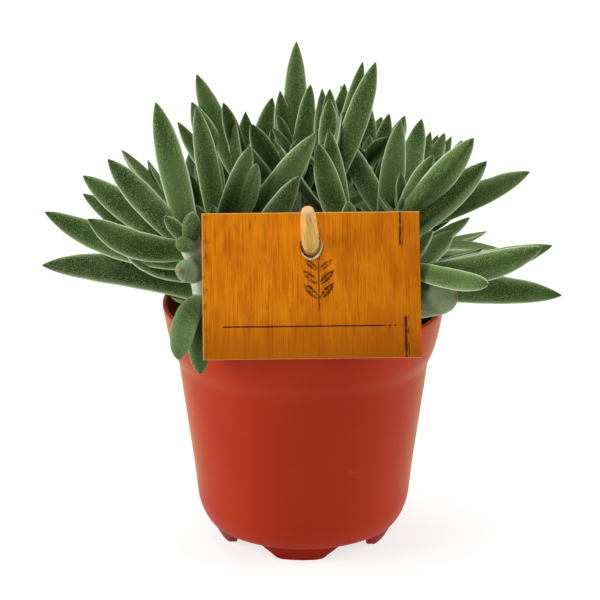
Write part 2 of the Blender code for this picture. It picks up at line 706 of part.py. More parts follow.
def make_stem(shoot, collection, material):
    """A stem: straight in the soil, curved above it, and slimmer towards the crown."""
    foot, top, radius = SHOOTS[shoot][:3]
    places = [(foot[0], foot[1], STEM_FOOT)]
    places += [tuple(stem_point(foot, top, share)) for share in np.linspace(0.0, 1.0, 6)]
    places += [tuple(stem_point(foot, top, 1.0) + BUD * stem_way(foot, top, 1.0))]
    curve = bpy.data.curves.new(shoot, "CURVE")
    curve.dimensions = "3D"
    curve.bevel_depth = radius * MM
    curve.bevel_resolution = STEM_SIDES_BEVEL
    curve.use_fill_caps = True
    spline = curve.splines.new("POLY")
    spline.points.add(len(places) - 1)
    for point, place in zip(spline.points, places):
        point.co = (*(Vector(place) * MM), 1.0)
        point.radius = 1.0 - STEM_SLIM * max(0.0, place[2] - COLLAR_TOP) / (top[2] - COLLAR_TOP)
    spline.points[-1].radius = BUD_SHARE
    stem = bpy.data.objects.new(shoot, curve)
    collection.objects.link(stem)
    stem = bake(stem)
    stem.name = shoot
    stem.data.materials.clear()
    stem.data.materials.append(material)
    return stem


def fill_hollows(thing):
    """Delete the inner skins of hollows that crossing leaves have closed in."""
    shape = bmesh.new()
    shape.from_mesh(thing.data)
    left = set(shape.faces)
    inner = []
    while left:
        skin = [left.pop()]
        for face in skin:
            beside = {other for edge in face.edges for other in edge.link_faces}
            skin += beside & left
            left -= beside
        volume = sum(face.calc_center_median().dot(face.normal) * face.calc_area() for face in skin)
        if volume < 0.0:
            inner += skin
    bmesh.ops.delete(shape, geom=inner, context="FACES")
    shape.to_mesh(thing.data)
    shape.free()


def make_shoot(shoot, leaves, collection, material):
    """A leafy shoot: its stem and leaves joined in one solid."""
    stem = make_stem(shoot, collection, material)
    operands = new_collection("leaves_" + shoot)
    for leaf in leaves:
        make_leaf(leaf, operands, material)
    union = stem.modifiers.new("Join leaves", "BOOLEAN")
    union.operation = "UNION"
    union.operand_type = "COLLECTION"
    union.collection = operands
    union.solver = "EXACT"
    bake(stem)
    fill_hollows(stem)
    for thing in list(operands.objects):
        bpy.data.objects.remove(thing, do_unlink=True)
    bpy.data.collections.remove(operands)
    smooth(stem, 50.0)
    return stem


def main():
    clear_scene()
    parts = new_collection(OBJECT_NAME)
    cutters = new_collection("cutters")
    plastic = new_material("pot plastic", (0.55, 0.10, 0.05), 0.45)
    peat = new_material("soil", (0.05, 0.03, 0.02), 0.95)
    foliage = new_material("leaves", (0.10, 0.20, 0.07), 0.7)
    printed = new_material("card", (0.62, 0.26, 0.03), 0.5)
    wood = new_material("stick wood", (0.70, 0.48, 0.24), 0.7)
    make_pot(parts, cutters, plastic)
    make_soil(parts, cutters, peat)
    make_card(parts, cutters, printed)
    make_stick(parts, wood)
    leaves = grow_leaves()
    for shoot in SHOOTS:
        make_shoot(shoot, [leaf for leaf in leaves if leaf.shoot == shoot], parts, foliage)


main()
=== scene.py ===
# %% [markdown]
# # A potted crassula
# A velvety succulent in a red plastic nursery pot, with a wood print card that hangs on a whittled
# stick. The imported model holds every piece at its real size, as plain facets. This script keeps each
# piece where it is and gives it the surface that the real one has: soft green leaves with pale
# margins and fine hairs, smooth moulded plastic, crumbly peat, printed card and split wood.
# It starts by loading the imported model, which is the frame that every new piece is fitted to.

# %% Load the frame
import math
import random

import bmesh
import bpy
import numpy as np
from mathutils import Matrix, Vector, noise
from mathutils.kdtree import KDTree


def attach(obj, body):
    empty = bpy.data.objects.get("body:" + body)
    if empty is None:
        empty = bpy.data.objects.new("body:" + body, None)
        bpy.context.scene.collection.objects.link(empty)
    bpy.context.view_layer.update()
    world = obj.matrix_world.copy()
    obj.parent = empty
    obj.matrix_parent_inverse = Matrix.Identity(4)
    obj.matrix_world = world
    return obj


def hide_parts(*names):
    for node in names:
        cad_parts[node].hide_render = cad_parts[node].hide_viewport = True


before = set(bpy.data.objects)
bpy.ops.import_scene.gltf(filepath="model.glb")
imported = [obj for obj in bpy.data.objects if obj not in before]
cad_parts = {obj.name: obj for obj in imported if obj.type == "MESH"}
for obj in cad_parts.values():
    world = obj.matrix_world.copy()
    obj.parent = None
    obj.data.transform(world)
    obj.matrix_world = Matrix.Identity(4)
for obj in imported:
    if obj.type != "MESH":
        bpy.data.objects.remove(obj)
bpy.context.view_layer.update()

print("nodes in the frame:", ", ".join(sorted(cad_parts)))

# %% [markdown]
# ## Camera, light and floor
# The photograph is taken with a long lens, a little from above: the pot's rim shows as a shallow
# ellipse. A camera 1.2 m away with a lens of about 169 mm gives the same ellipse and the same size
# in the picture, so the model can be compared with it spot by spot.

# %% The camera
def stand(name, data):
    """Stand a camera, a lamp or a mesh in the scene as an object."""
    thing = bpy.data.objects.new(name, data)
    bpy.context.scene.collection.objects.link(thing)
    return thing


MM = 0.001
CAMERA_DISTANCE = 1.2
CAMERA_RISE = math.radians(19.55)
CAMERA_TARGET = Vector((-1.45, 0.0, 104.8)) * MM
FOCAL_PIXELS = 2811.5
PICTURE_PIXELS = 600
SENSOR = 36.0

camera_data = bpy.data.cameras.new("camera")
camera_data.sensor_width = SENSOR
camera_data.lens = FOCAL_PIXELS / PICTURE_PIXELS * SENSOR
camera_data.clip_start = 0.05
camera = stand("camera", camera_data)
camera_way = Vector((0.0, -math.cos(CAMERA_RISE), math.sin(CAMERA_RISE)))
camera.location = CAMERA_TARGET + CAMERA_DISTANCE * camera_way
camera.rotation_euler = (math.pi / 2 - CAMERA_RISE, 0.0, 0.0)
bpy.context.scene.camera = camera
print("lens %.1f mm, %.2f m away" % (camera_data.lens, CAMERA_DISTANCE))

# %% [markdown]
# The light comes from two big soft boxes at the sides, the left one stronger, and a third over the
# back. They brighten both flanks of the pot and leave its front darker, as in the photograph. A
# faint white world fills the shadows.

# %% Lights and world
LIGHTS = {
    "left_box": ((-1.12, -0.30, 0.64), 0.9, 17.0),
    "right_box": ((1.15, -0.04, 0.62), 0.9, 12.5),
    "top_box": ((-0.1, 0.32, 1.35), 1.0, 16.0),
}
LIGHT_TARGET = Vector((0.0, 0.0, 0.12))
WORLD_STRENGTH = 0.14

for name, (place, size, power) in LIGHTS.items():
    box = bpy.data.lights.new(name, "AREA")
    box.shape = "SQUARE"
    box.size = size
    box.energy = power
    lamp = stand(name, box)
    lamp.location = place
    lamp.rotation_euler = (LIGHT_TARGET - lamp.location).to_track_quat("-Z", "Y").to_euler()

world = bpy.data.worlds.new("white surroundings")
world.use_nodes = True
world.node_tree.nodes["Background"].inputs["Color"].default_value = (1.0, 1.0, 1.0, 1.0)
world.node_tree.nodes["Background"].inputs["Strength"].default_value = WORLD_STRENGTH
bpy.context.scene.world = world
bpy.context.scene.view_settings.view_transform = "Standard"
print("lights:", ", ".join(LIGHTS))

# %% [markdown]
# ## Helpers
# A material is a small network of nodes. Written node by node it takes pages, so a little class
# wraps one socket of a network and lets it stand in a sum: `1 - mask` adds the Math node by itself.
# Every other node comes from its one method `add`, which takes the kind, the settings and what goes
# into each socket.

# %% A socket that can be used in sums
def feed(socket, value):
    """Link a wire to a socket, or set the socket to a constant."""
    if isinstance(value, Wire):
        value.tree.links.new(value.socket, socket)
    else:
        socket.default_value = value


class Wire:
    """One output socket of a node tree."""

    def __init__(self, tree, socket=None):
        self.tree = tree
        self.socket = socket

    def add(self, kind, sockets=None, out=0, **settings):
        """Add a node, with its settings first and then its sockets. One output comes back."""
        node = self.tree.nodes.new("ShaderNode" + kind)
        for setting, value in settings.items():
            setattr(node, setting, value)
        for key, value in (sockets or {}).items():
            feed(node.inputs[key], value)
        return Wire(self.tree, node.outputs[out])

    def maths(self, operation, *values):
        return self.add("Math", dict(enumerate(values)), operation=operation)

    def __add__(self, other):
        return self.maths("ADD", self, other)

    def __sub__(self, other):
        return self.maths("SUBTRACT", self, other)

    def __rsub__(self, other):
        return self.maths("SUBTRACT", other, self)

    def __mul__(self, other):
        return self.maths("MULTIPLY", self, other)

    def __abs__(self):
        return self.maths("ABSOLUTE", self)

    __radd__ = __add__
    __rmul__ = __mul__

    def ease(self, low, high):
        """0 below low, 1 above high, and a smooth change between them."""
        return self.add("MapRange", {0: self, 1: low, 2: high}, interpolation_type="SMOOTHSTEP")

    def mix(self, first, second):
        """The first colour where this is 0, the second where it is 1."""
        first = first if isinstance(first, Wire) else (*first, 1.0)
        second = second if isinstance(second, Wire) else (*second, 1.0)
        return self.add("Mix", {0: self, 6: first, 7: second}, out=2, data_type="RGBA")

    def grain(self, scale, detail=2.0, roughness=0.5):
        """Noise at a point: scale is the number of blotches in a metre."""
        return self.add("TexNoise", {"Vector": self, "Scale": scale, "Detail": detail,
                                     "Roughness": roughness})

    def squeezed(self, x, y, z, shift=0.0):
        """The same places with each axis scaled, so that a noise on them is drawn out."""
        return self.add("Mapping", {"Vector": self, "Scale": (x, y, z),
                                    "Location": (shift, shift, 0.0)})

    def bump(self, height, distance, strength):
        return self.add("Bump", {"Height": height, "Distance": distance, "Strength": strength})


def coated(colour, *coats):
    """A colour with others laid over it, each as a mask and the colour where it is 1."""
    for mask, coat in coats:
        colour = mask.mix(colour, coat)
    return colour


def connect(shader, **sockets):
    """Feed a shader's sockets by their names."""
    for name, value in sockets.items():
        feed(shader.inputs[name.replace("_", " ")], value)


def new_material(name, **constants):
    """A material, its shader and a wire that carries each point's place."""
    material = bpy.data.materials.new(name)
    material.use_nodes = True
    shader = material.node_tree.nodes["Principled BSDF"]
    connect(shader, **constants)
    return material, shader, Wire(material.node_tree).add("TexCoord", out="Object")

# %% [markdown]
# The next helper turns a finished bmesh into an object that stands in the frame. A new piece is
# modelled in millimetres, as a maker would measure it, and is scaled to metres here. A long round
# piece starts as a ball whose points are moved along it: its poles close both ends.

# %% From a bmesh to a piece in the frame
def new_piece(name, shape, materials, slot=None, replaces=(), smooth=True):
    """Make an object from a bmesh in millimetres, which is freed."""
    bmesh.ops.scale(shape, vec=(MM, MM, MM), verts=shape.verts)
    mesh = bpy.data.meshes.new(name)
    shape.to_mesh(mesh)
    shape.free()
    for material in materials:
        mesh.materials.append(material)
    if smooth:
        mesh.shade_smooth()
    piece = stand(name, mesh)
    if slot:
        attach(piece, "root")
    if replaces:
        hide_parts(*replaces)
    print("%s: %d faces" % (name, len(mesh.polygons)))
    return piece

# %% A ball with its points moved
def moved_ball(sides, loops, move):
    """A closed skin from a ball: move takes each point's share from pole to pole and the point."""
    shape = bmesh.new()
    bmesh.ops.create_uvsphere(shape, u_segments=sides, v_segments=loops, radius=1.0)
    for vert in shape.verts:
        vert.co = move(0.5 - 0.5 * vert.co.z, vert.co)
    bmesh.ops.recalc_face_normals(shape, faces=shape.faces)
    return shape

# %% [markdown]
# The floor is a plain pale disc, large enough that the camera never sees its edge. It glows a
# little, as a light table does, which keeps it white behind the pot and softens the shadow at its
# feet. It belongs to the stage and not to the plant.

# %% The floor
FLOOR_RADIUS = 4000.0
FLOOR_GREY = (0.32, 0.32, 0.32, 1.0)
FLOOR_GLOW = 0.72
floor_paint, shader, place = new_material(
    "pale floor", Roughness=0.9, Base_Color=FLOOR_GREY, Emission_Color=(1.0, 1.0, 1.0, 1.0),
    Emission_Strength=FLOOR_GLOW)
shape = bmesh.new()
bmesh.ops.create_circle(shape, cap_ends=True, segments=64, radius=FLOOR_RADIUS)
floor = new_piece("floor", shape, [floor_paint], smooth=False)

# %% [markdown]
# ## The pot
# A nursery pot is thin moulded plastic: a lip, a stepped collar, a wall that tapers, a rounded
# heel and five feet with notches between them for water to run out. A turned shape like this is one
# outline spun around the axis. The feet can't be spun, so they are drawn down from the ring of faces
# at the heel, a sector at a time, as one would pull them out of the plastic.

# %% The pot's sizes
POT_STEPS = 180
WALL = 1.3
LIP = [(58.2, 104.2), (58.5, 104.85), (59.0, 105.0), (59.6, 104.95), (60.0, 104.7), (60.1, 104.2)]
OUTER = [
    (59.9, 102.9), (59.6, 101.2), (58.9, 97.2), (58.2, 93.2), (57.5, 90.2), (57.0, 88.2),
    (56.6, 86.6), (56.0, 85.0), (55.0, 82.6), (54.1, 80.6), (53.7, 79.4), (53.4, 77.9),
    (52.6, 71.5), (51.7, 64.5), (50.8, 57.9), (49.8, 50.3), (48.8, 42.8), (47.8, 35.4),
    (46.8, 26.8), (46.2, 21.2), (45.9, 18.3), (45.6, 16.6), (45.2, 14.9), (44.7, 13.3),
    (44.1, 11.7), (43.3, 10.0), (42.4, 8.4), (41.5, 7.2)]
FOOT_RING = (40.7, 37.9)
FOOT_TOP = 6.9
BASE_TOP = 9.0
BASE_UNDERSIDE = 7.6
FOOT_RADII = (36.9, 34.3)
FEET = 5
FEET_TURN = math.radians(-2.3)
FOOT_HALF_TOP = math.radians(24.5)
FOOT_HALF_FLOOR = math.radians(19.0)
FOOT_FLAT = 0.70
FOOT_LIFT = 2.3
SOLE_ROUND = 0.35
print("wall %.1f mm, %d feet" % (WALL, FEET))


# %% Spin the outline, then pull the feet down
def spin_outline(shape, outline, steps):
    """Spin a list of (radius, height), down the outer side, into a closed skin."""
    verts = [shape.verts.new((radius, 0.0, height)) for radius, height in outline]
    edges = [shape.edges.new(pair) for pair in zip(verts, verts[1:])]
    bmesh.ops.spin(shape, geom=verts + edges, cent=(0.0, 0.0, 0.0), axis=(0.0, 0.0, 1.0),
                   angle=2.0 * math.pi, steps=steps, use_merge=True)
    bmesh.ops.remove_doubles(shape, verts=shape.verts, dist=0.001)
    bmesh.ops.recalc_face_normals(shape, faces=shape.faces)


def foot_offset(place):
    """The middle of the nearest foot, as a turn about the axis, and how far a place is from it."""
    pitch = 2.0 * math.pi / FEET
    turn = math.atan2(place.y, place.x) + 0.5 * math.pi - FEET_TURN
    foot = round(turn / pitch)
    return foot * pitch - 0.5 * math.pi + FEET_TURN, turn - foot * pitch


shape = bmesh.new()
inner = [(radius - WALL, height) for radius, height in OUTER[::-1] if height > BASE_TOP + 1.0]
outline = [(0.0, BASE_TOP), (20.0, BASE_TOP), (inner[0][0] - 0.9, BASE_TOP), *inner]
outline += LIP + OUTER
outline += [(FOOT_RING[0], FOOT_TOP), (FOOT_RING[1], FOOT_TOP), (37.4, BASE_UNDERSIDE)]
outline += [(20.0, BASE_UNDERSIDE), (0.0, BASE_UNDERSIDE)]
spin_outline(shape, outline, POT_STEPS)

footing = []
for face in shape.faces:
    middle = face.calc_center_median()
    reach = math.hypot(middle.x, middle.y)
    on_ring = abs(middle.z - FOOT_TOP) < 0.05 and FOOT_RING[1] < reach < FOOT_RING[0]
    if on_ring and abs(foot_offset(middle)[1]) < FOOT_HALF_TOP:
        footing.append(face)
pulled = bmesh.ops.extrude_face_region(shape, geom=footing)
bmesh.ops.delete(shape, geom=[face for face in footing if face.is_valid], context="FACES_ONLY")
soles = [item for item in pulled["geom"] if isinstance(item, bmesh.types.BMFace)]
for vert in {vert for face in soles for vert in face.verts}:
    centre, off_centre = foot_offset(vert.co)
    outer = math.hypot(vert.co.x, vert.co.y) > 0.5 * sum(FOOT_RING)
    reach = FOOT_RADII[0] if outer else FOOT_RADII[1]
    turn = centre + off_centre * FOOT_HALF_FLOOR / FOOT_HALF_TOP
    to_end = max(0.0, abs(off_centre) / FOOT_HALF_TOP - FOOT_FLAT) / (1.0 - FOOT_FLAT)
    vert.co = Vector((reach * math.cos(turn), reach * math.sin(turn), FOOT_LIFT * to_end ** 2))
sole_edges = {edge for face in soles for edge in face.edges
              if any(other not in soles for other in edge.link_faces)}
bmesh.ops.bevel(shape, geom=list(sole_edges), affect="EDGES", offset=SOLE_ROUND, segments=2,
                profile=0.5, material=-1)
bmesh.ops.recalc_face_normals(shape, faces=shape.faces)

# %% [markdown]
# The plastic is polypropylene: even in colour, a little waxy, with the satin gloss that moulds
# leave. What gives it away as real is slight: a cloudy unevenness of the red, faint lines around
# the wall where it came off the mould, and a few pale scuffs. A dusty bloom, pale at a grazing
# angle, lies on the wall and fades out at the heel. The feet are duller and a deeper red, which is
# a painted shade for the contact shadow under the pot. Two shaders share one colour, and a Mix
# Shader goes from the bare one to the dusty one with height.

# %% The pot's plastic
BLOOM = 0.46
BLOOM_ROUGH = 0.30
BLOOM_TINT = (0.88, 1.00, 0.38, 1.0)
BLOOM_FADES = (0.008, 0.034)


def moulded_plastic(name, gloss, dusty, red_low, red_high):
    """Satin red plastic, with a dusty bloom above the heel or without."""
    plastic, shader, place = new_material(name, Specular_IOR_Level=gloss)
    cloud = place.grain(22.0, 3.0)
    rings = place.squeezed(3.0, 3.0, 420.0).grain(1.0, 2.0)
    dots = place.grain(900.0, 1.0).ease(0.70, 0.78)
    scuffs = place.squeezed(60.0, 60.0, 260.0).grain(1.0, 4.0).ease(0.66, 0.80)
    red = coated(cloud.ease(0.3, 0.7).mix(red_low, red_high),
                 (scuffs * 0.16, (0.56, 0.15, 0.07)), (dots * 0.25, (0.24, 0.03, 0.012)))
    rough = rings * 0.10 + cloud * 0.08 + scuffs * 0.15 + 0.38
    bump = place.bump(rings * 0.6 + cloud * 0.4, 0.00012, 0.5)
    connect(shader, Base_Color=red, Roughness=rough, Normal=bump)
    if dusty:
        bloom = place.add("BsdfPrincipled", {
            "Specular IOR Level": gloss, "Sheen Weight": BLOOM, "Sheen Roughness": BLOOM_ROUGH,
            "Sheen Tint": BLOOM_TINT, "Base Color": red, "Roughness": rough, "Normal": bump})
        height = place.add("SeparateXYZ", {"Vector": place}, out="Z").ease(*BLOOM_FADES)
        mixed = place.add("MixShader", {0: height, 1: Wire(place.tree, shader.outputs[0]), 2: bloom})
        feed(plastic.node_tree.nodes["Material Output"].inputs["Surface"], mixed)
    return plastic


for face in shape.faces:
    face.material_index = 1 if face.calc_center_median().z < BASE_UNDERSIDE else 0
wall_plastic = moulded_plastic("moulded red plastic", 0.10, True,
                               (0.335, 0.0170, 0.0004), (0.372, 0.0215, 0.0009))
# The feet's deeper red is a painted shade for the contact shadow under the pot.
foot_plastic_painted_shade = moulded_plastic("dull red foot plastic with painted shade", 0.02, False,
                               (0.235, 0.0060, 0.0002), (0.265, 0.0080, 0.0004))
pot = new_piece("pot_wall", shape, [wall_plastic, foot_plastic_painted_shade], "pot plastic", ["pot"])
pot.data.set_sharp_from_angle(angle=math.radians(50.0))

# %% [markdown]
# ## The soil
# Peat in a nursery pot is dark and loose: a rough surface with crumbs, bits of fibre and pale grains
# of perlite on it. The body is spun like the pot, with close rings on top that a noise lifts and
# lowers. The crumbs are small lumps of a few faces each, strewn by a seeded draw, because hundreds
# of them have to stay light.

# %% Soil with an uneven top
SOIL_TOP = 97.0
SOIL_BOTTOM = BASE_TOP + 0.4
SOIL_RADIUS = 55.6
SOIL_STEPS = 120


def soil_height(x, y):
    """The soil's height at a place: the broad waves of the solid, and a finer roughness."""
    broad = 0.7 * math.sin(0.31 * x + 1.0) * math.cos(0.27 * y) + 0.5 * math.sin(0.55 * y + 0.4 * x)
    fine = noise.noise(Vector((0.35 * x, 0.35 * y, 0.0))) + 0.5 * noise.noise(Vector((x, y, 7.0)))
    edge = 1.5 * max(0.0, (math.hypot(x, y) - 49.0) / 7.0)
    return SOIL_TOP + 0.6 * broad + fine - edge


shape = bmesh.new()
outline = [(reach, SOIL_TOP) for reach in np.linspace(0.0, SOIL_RADIUS, 46)]
outline += [(54.9, 88.0), (51.9, 79.0), (51.0, 70.0), (44.2, 18.0)]
outline += [(40.4, SOIL_BOTTOM), (0.0, SOIL_BOTTOM)]
spin_outline(shape, outline, SOIL_STEPS)
for vert in shape.verts:
    if vert.co.z > SOIL_TOP - 0.01:
        vert.co.z = soil_height(vert.co.x, vert.co.y)

# %% Peat
peat, shader, place = new_material("damp peat", Specular_IOR_Level=0.25)
clod = place.grain(260.0, 6.0, 0.7)
fleck = place.grain(1500.0, 2.0)
brown = coated(clod.ease(0.30, 0.72).mix((0.012, 0.008, 0.006), (0.070, 0.040, 0.022)),
               (fleck.ease(0.62, 0.74) * 0.6, (0.16, 0.10, 0.06)))
connect(shader, Base_Color=brown, Roughness=0.98 - fleck * 0.15,
        Normal=place.bump(clod + fleck * 0.4, 0.0012, 0.9))
new_piece("soil_body", shape, [peat], "soil", ["soil"])

# %% Crumbs, fibres and perlite
CRUMBS = 620
CRUMB_SIZE = (0.5, 1.9)
CRUMB_REACH = 54.0
PERLITE_SHARE = 0.06
perlite, shader, place = new_material("perlite", Roughness=0.9)
connect(shader, Base_Color=place.grain(1200.0, 3.0).mix((0.50, 0.47, 0.42), (0.80, 0.78, 0.73)),
        Normal=place.bump(place.grain(1800.0, 2.0), 0.0003, 0.6))
chance = random.Random(41)
crumbs = bmesh.new()
for crumb in range(CRUMBS):
    reach = CRUMB_REACH * math.sqrt(chance.random())
    turn = chance.uniform(0.0, 2.0 * math.pi)
    x, y = reach * math.cos(turn), reach * math.sin(turn)
    size = chance.uniform(*CRUMB_SIZE) * chance.uniform(0.5, 1.0)
    lump = bmesh.ops.create_icosphere(crumbs, subdivisions=1, radius=size)["verts"]
    stretch = Vector([chance.uniform(0.6, 1.3), chance.uniform(0.6, 1.3), chance.uniform(0.5, 0.9)])
    spin = Matrix.Rotation(chance.uniform(0.0, math.pi), 4, "Z")
    spin = spin @ Matrix.Rotation(chance.uniform(-0.5, 0.5), 4, "X")
    for vert in lump:
        vert.co *= 1.0 + 0.45 * noise.noise(vert.co * 1.7 + Vector((crumb, 0.0, 0.0)))
        vert.co = spin @ (vert.co * stretch)
    bmesh.ops.translate(crumbs, vec=(x, y, soil_height(x, y) + 0.25 * size), verts=lump)
    pale = chance.random() < PERLITE_SHARE
    for face in {face for vert in lump for face in vert.link_faces}:
        face.material_index = 1 if pale else 0
new_piece("soil_crumbs", crumbs, [peat, perlite], "soil", smooth=False)

# %% [markdown]
# ## The leaves
# The plant is a bunch of shoots. Each shoot is a felted stem with thick, boat-shaped leaves in
# crossed pairs: flat above, keeled below, and pointed. The solids hold every leaf in few facets,
# and a few of those leaves have been swung a little aside so that none cuts another. So the fine
# leaves start from the same table of roots, tips and widths as the facets do, and then each one
# looks for its own facets in the frame and takes its tip from them.

# %% The shoots and the leaves that are placed one by one
# Each shoot: where its stem leaves the soil, its crown, its stem radius and its leaves.
# A leaf is its share up the stem, its tip (x, y, z), its width, bow and twist in degrees, and how
# dark (-1) or pale (1) it is, which is partly the leaf's own colour and partly painted light and
# shade. The oldest and the bud leaves are blunt: four more numbers are their width, length and turn
# against their facets, and how round they are.
SHOOTS = {
    "shoot_front_left": ((-38, -29.5), (-46.5, -36, 142), 5.3, [
        (0.93, -61, -10, 195, 11, 2, 0, -0.1), (0.97, -56, -14, 164, 7.5, 0, 0, 0.3),
        (1, -57, -33, 153, 5.5, 0, 45, 0.3), (1, -46, -38, 156, 7.5, 0, 0, 0.3, 1.3, 1, 35, 0.5),
        (1, -52, -50, 146, 7.5, 0, 0, 0.85, 0.95, 0.62, 25, 1),
        (0.95, -81, -15, 172, 10.5, 1, 30, -0.9), (0.9, -92, -9, 163, 11, 1, 40, -0.1),
        (0.93, -88, -40, 154, 11, 5, 55, 0), (0.8, -107, -24, 152, 11, 4, 50, 0.1),
        (0.66, -75, -30, 139, 10, 2, 50, -0.9), (0.46, -109, -22, 128, 11.5, -4, 55, -1),
        (0.7, -92, -12, 156, 9.5, 0, 45, -0.4), (0.86, -77, -12, 165, 9.5, 1, 30, -0.5),
        (0.7, -47, -59, 138, 10.5, 0, 25, 1, 0.92, 0.74, 30, 1),
        (0.45, -48, -66, 104, 13.5, -6, 5, 0.5, 0.78, 1, 0, 0.2),
        (0.35, -42, -58, 93, 11, -6, 5, 0.4, 0.82, 1, 0, 0.2)]),
    "shoot_left": ((-24, -6), (-38, -14, 143), 4, [
        (0.85, -45, 8, 188, 9, 1, -25, 0.6), (0.92, -36, 11, 167, 7, 1, -30, 0.1),
        (0.9, -22, -17, 178, 9, 1, -70, 0.3), (0.8, -19, -18, 171, 10, 1, -65, 0.85),
        (0.7, 5, -18, 184, 11, 1, -65, 0.85), (0.5, 0, -23, 167, 10, 1, -70, -0.7)]),
    "shoot_far_left": ((-36, 10), (-48, 14, 140), 4, [
        (0.9, -77, 12, 168, 10, 1, 35, -0.2)]),
    "shoot_back_left": ((-24, 26), (-24, 24, 158), 4, [
        (0.8, -46, 42, 193, 9.5, 1, 40, 0.5), (0.9, -34, 18, 187, 7.5, 0, 80, 0.1),
        (0.6, -57, 27, 178, 11, 1, 65, 0.1), (0.85, -11, 39, 183, 8, 1, -35, -0.7),
        (0.75, -34, 56, 166, 10, 2, 0, 0.1), (0.65, -62, 45, 160, 10.5, 2, 10, -0.1)]),
    "shoot_centre": ((-5, 14), (-4, 14, 166), 4, [
        (0.75, -3, 36, 209, 9.5, 1, 0, 0.85), (0.9, 3, 18, 195, 7, 1, -45, 0.2),
        (0.97, -11, 16, 182, 5, 0, 45, 0.5), (1, -13, 10, 178, 4, 0, 60, 0.5),
        (0.7, -24, 17, 177, 9.5, 1, 65, -0.3), (0.8, -9, 60, 174, 10, 2, 0, 0.1),
        (0.6, 10, 52, 178, 9.5, 2, 0, -0.1)]),
    "shoot_centre_right": ((12, 4), (9, 2, 165), 4, [
        (0.8, 30, 2, 209, 10, 1, -60, 0), (0.9, 16, 8, 186, 9.5, 1, 35, -0.7),
        (0.85, 11, 17, 189, 8, 1, -10, 0), (0.7, 12, 22, 192, 8.5, 1, -10, 0.3),
        (0.65, 18, 24, 194, 9, 1, -20, 0.4), (0.75, 27, 12, 206, 8, 1, -40, -0.2)]),
    "shoot_right_back": ((28, 24), (26, 26, 160), 4, [
        (0.9, 34, 49, 172, 7.5, 1, -25, 0.1), (0.95, 36, 14, 173, 7.5, 0, 50, 0),
        (0.7, 37, 40, 176, 7.5, 1, -35, 0.3), (0.6, 43, 29, 177, 7.5, 1, -60, 0.4),
        (0.8, 26, 45, 179, 7.5, 1, 0, -0.7), (0.5, 47, 28, 165, 8, 1, -60, 0.1),
        (0.75, 24, 66, 167, 10, 2, 0, 0), (0.6, 48, 60, 154, 10, 2, 0, 0)]),
    "shoot_right": ((26, -14), (41, -18, 150), 4, [
        (0.9, 50, 14, 181, 9.5, 1, 15, 0), (0.94, 49, 13, 170, 7.5, 1, 15, 0.6),
        (0.97, 53, -26, 177, 8, 0, 0, 0.3), (1, 40, -21, 168, 4.5, 0, 80, 0.4),
        (0.9, 69, -35, 187, 11, 1, 50, -0.1), (0.7, 75, -28, 175, 12, 1, 70, -0.5),
        (0.85, 16, 17, 172, 9, 1, 50, -0.6), (0.65, 14, -23, 184, 10.5, 1, 80, 0.1)]),
    "shoot_front": ((17, -28), (20, -27, 142), 4, [
        (0.85, 0, -5, 172, 10, 1, 50, -0.3), (0.75, 10, -9, 183, 9, 1, 40, -0.2),
        (0.95, 18, -34, 159, 7, 0, -50, -0.2)]),
    "shoot_front_right": ((34, -26), (43, -34, 134), 4.5, [
        (0.97, 53, -34, 147, 7.5, 0, 20, 0.2), (0.92, 74, -73, 137, 11, 1, -60, 0.4, 0.74, 0.98, 0, 0),
        (0.8, 97, -49, 145, 11, 4, -60, 0.5), (0.75, 104, -17, 135, 10, 2, -45, 0.3),
        (0.58, 108, -23, 115, 11, -2, -55, 0.1), (0.35, 61, -52, 126, 15, -2, 80, 1, 1.06, 1.02, 15, 0),
        (0.8, 62, 4, 136, 9, 1, -15, -0.8)]),
    "shoot_far_right": ((34, 12), (51, 14, 148), 4, [
        (0.7, 96, 10, 159, 10, 0, -70, 0.7), (0.9, 67, 10, 173, 7.5, 1, 0, 0.3),
        (0.92, 61, 38, 168, 7, 1, 25, -0.2), (0.85, 58, 38, 167, 7, 1, 25, 0.2),
        (0.75, 73, 45, 150, 8.5, 1, -25, 0), (0.5, 88, 36, 115, 10.5, -2, 0, 0.1),
        (0.45, 86, -6, 128, 10, 2, 0, -0.1)]),
    "shoot_back": ((2, 33), (3, 38, 148), 4, []),
    "shoot_low_left": ((-20, 42), (-28, 44, 130), 4, []),
    "shoot_low_right": ((24, 40), (33, 42, 132), 4, []),
}

# Leaves set by rule, in crossed pairs: share of the stem at the first and last pair, number of
# pairs, first and last length. Their headings and rises were settled where there was room.
RULED_WIDTH = (4.0, 0.12)
RULED_BOW = 1.5
RULED_TWIST = 15.0
# The ruled leaves are darker the lower they sit on the stem, a painted shade for the depth of the
# plant.
DEEP_PAINTED_SHADE = -0.5
TONE_SPREAD = 0.3
PAIRS = {
    "shoot_far_left": (0.35, 1, 7, 52, 18),
    "shoot_back": (0.25, 1, 7, 56, 18),
    "shoot_low_left": (0.25, 1, 7, 52, 16),
    "shoot_low_right": (0.25, 1, 7, 54, 16),
    "shoot_left": (0.22, 0.55, 3, 36, 42),
    "shoot_back_left": (0.28, 0.66, 3, 46, 42),
    "shoot_centre": (0.26, 0.66, 3, 42, 42),
    "shoot_centre_right": (0.26, 0.66, 3, 40, 40),
    "shoot_right_back": (0.28, 0.66, 3, 46, 42),
    "shoot_right": (0.22, 0.55, 3, 38, 42),
    "shoot_front": (0.3, 0.6, 2, 32, 34),
    "shoot_front_right": (0.22, 0.5, 3, 34, 36),
    "shoot_far_right": (0.22, 0.55, 3, 44, 46),
}
print("%d shoots" % len(SHOOTS))

# %% [markdown]
# A leaf is a curved line from its root to its tip, with a width that swells and then runs out to a
# point. `place` turns a spot on a flat plan (a share of the length, a distance across, a lift) into
# a spot on that leaf, so one plan of points serves every leaf of the plant.

# %% The form of a stem and of a leaf
COLLAR_TOP = 99.0
STEM_BEND = np.array([0.30, 0.30, 0.50])
STEM_SLIM = 0.25
BUD = 4.0
POINTED = 2.6
BLUNT = 3.4
FULL_TIP = 0.82
ROUND_TIP = 0.60
TINY = 1e-12


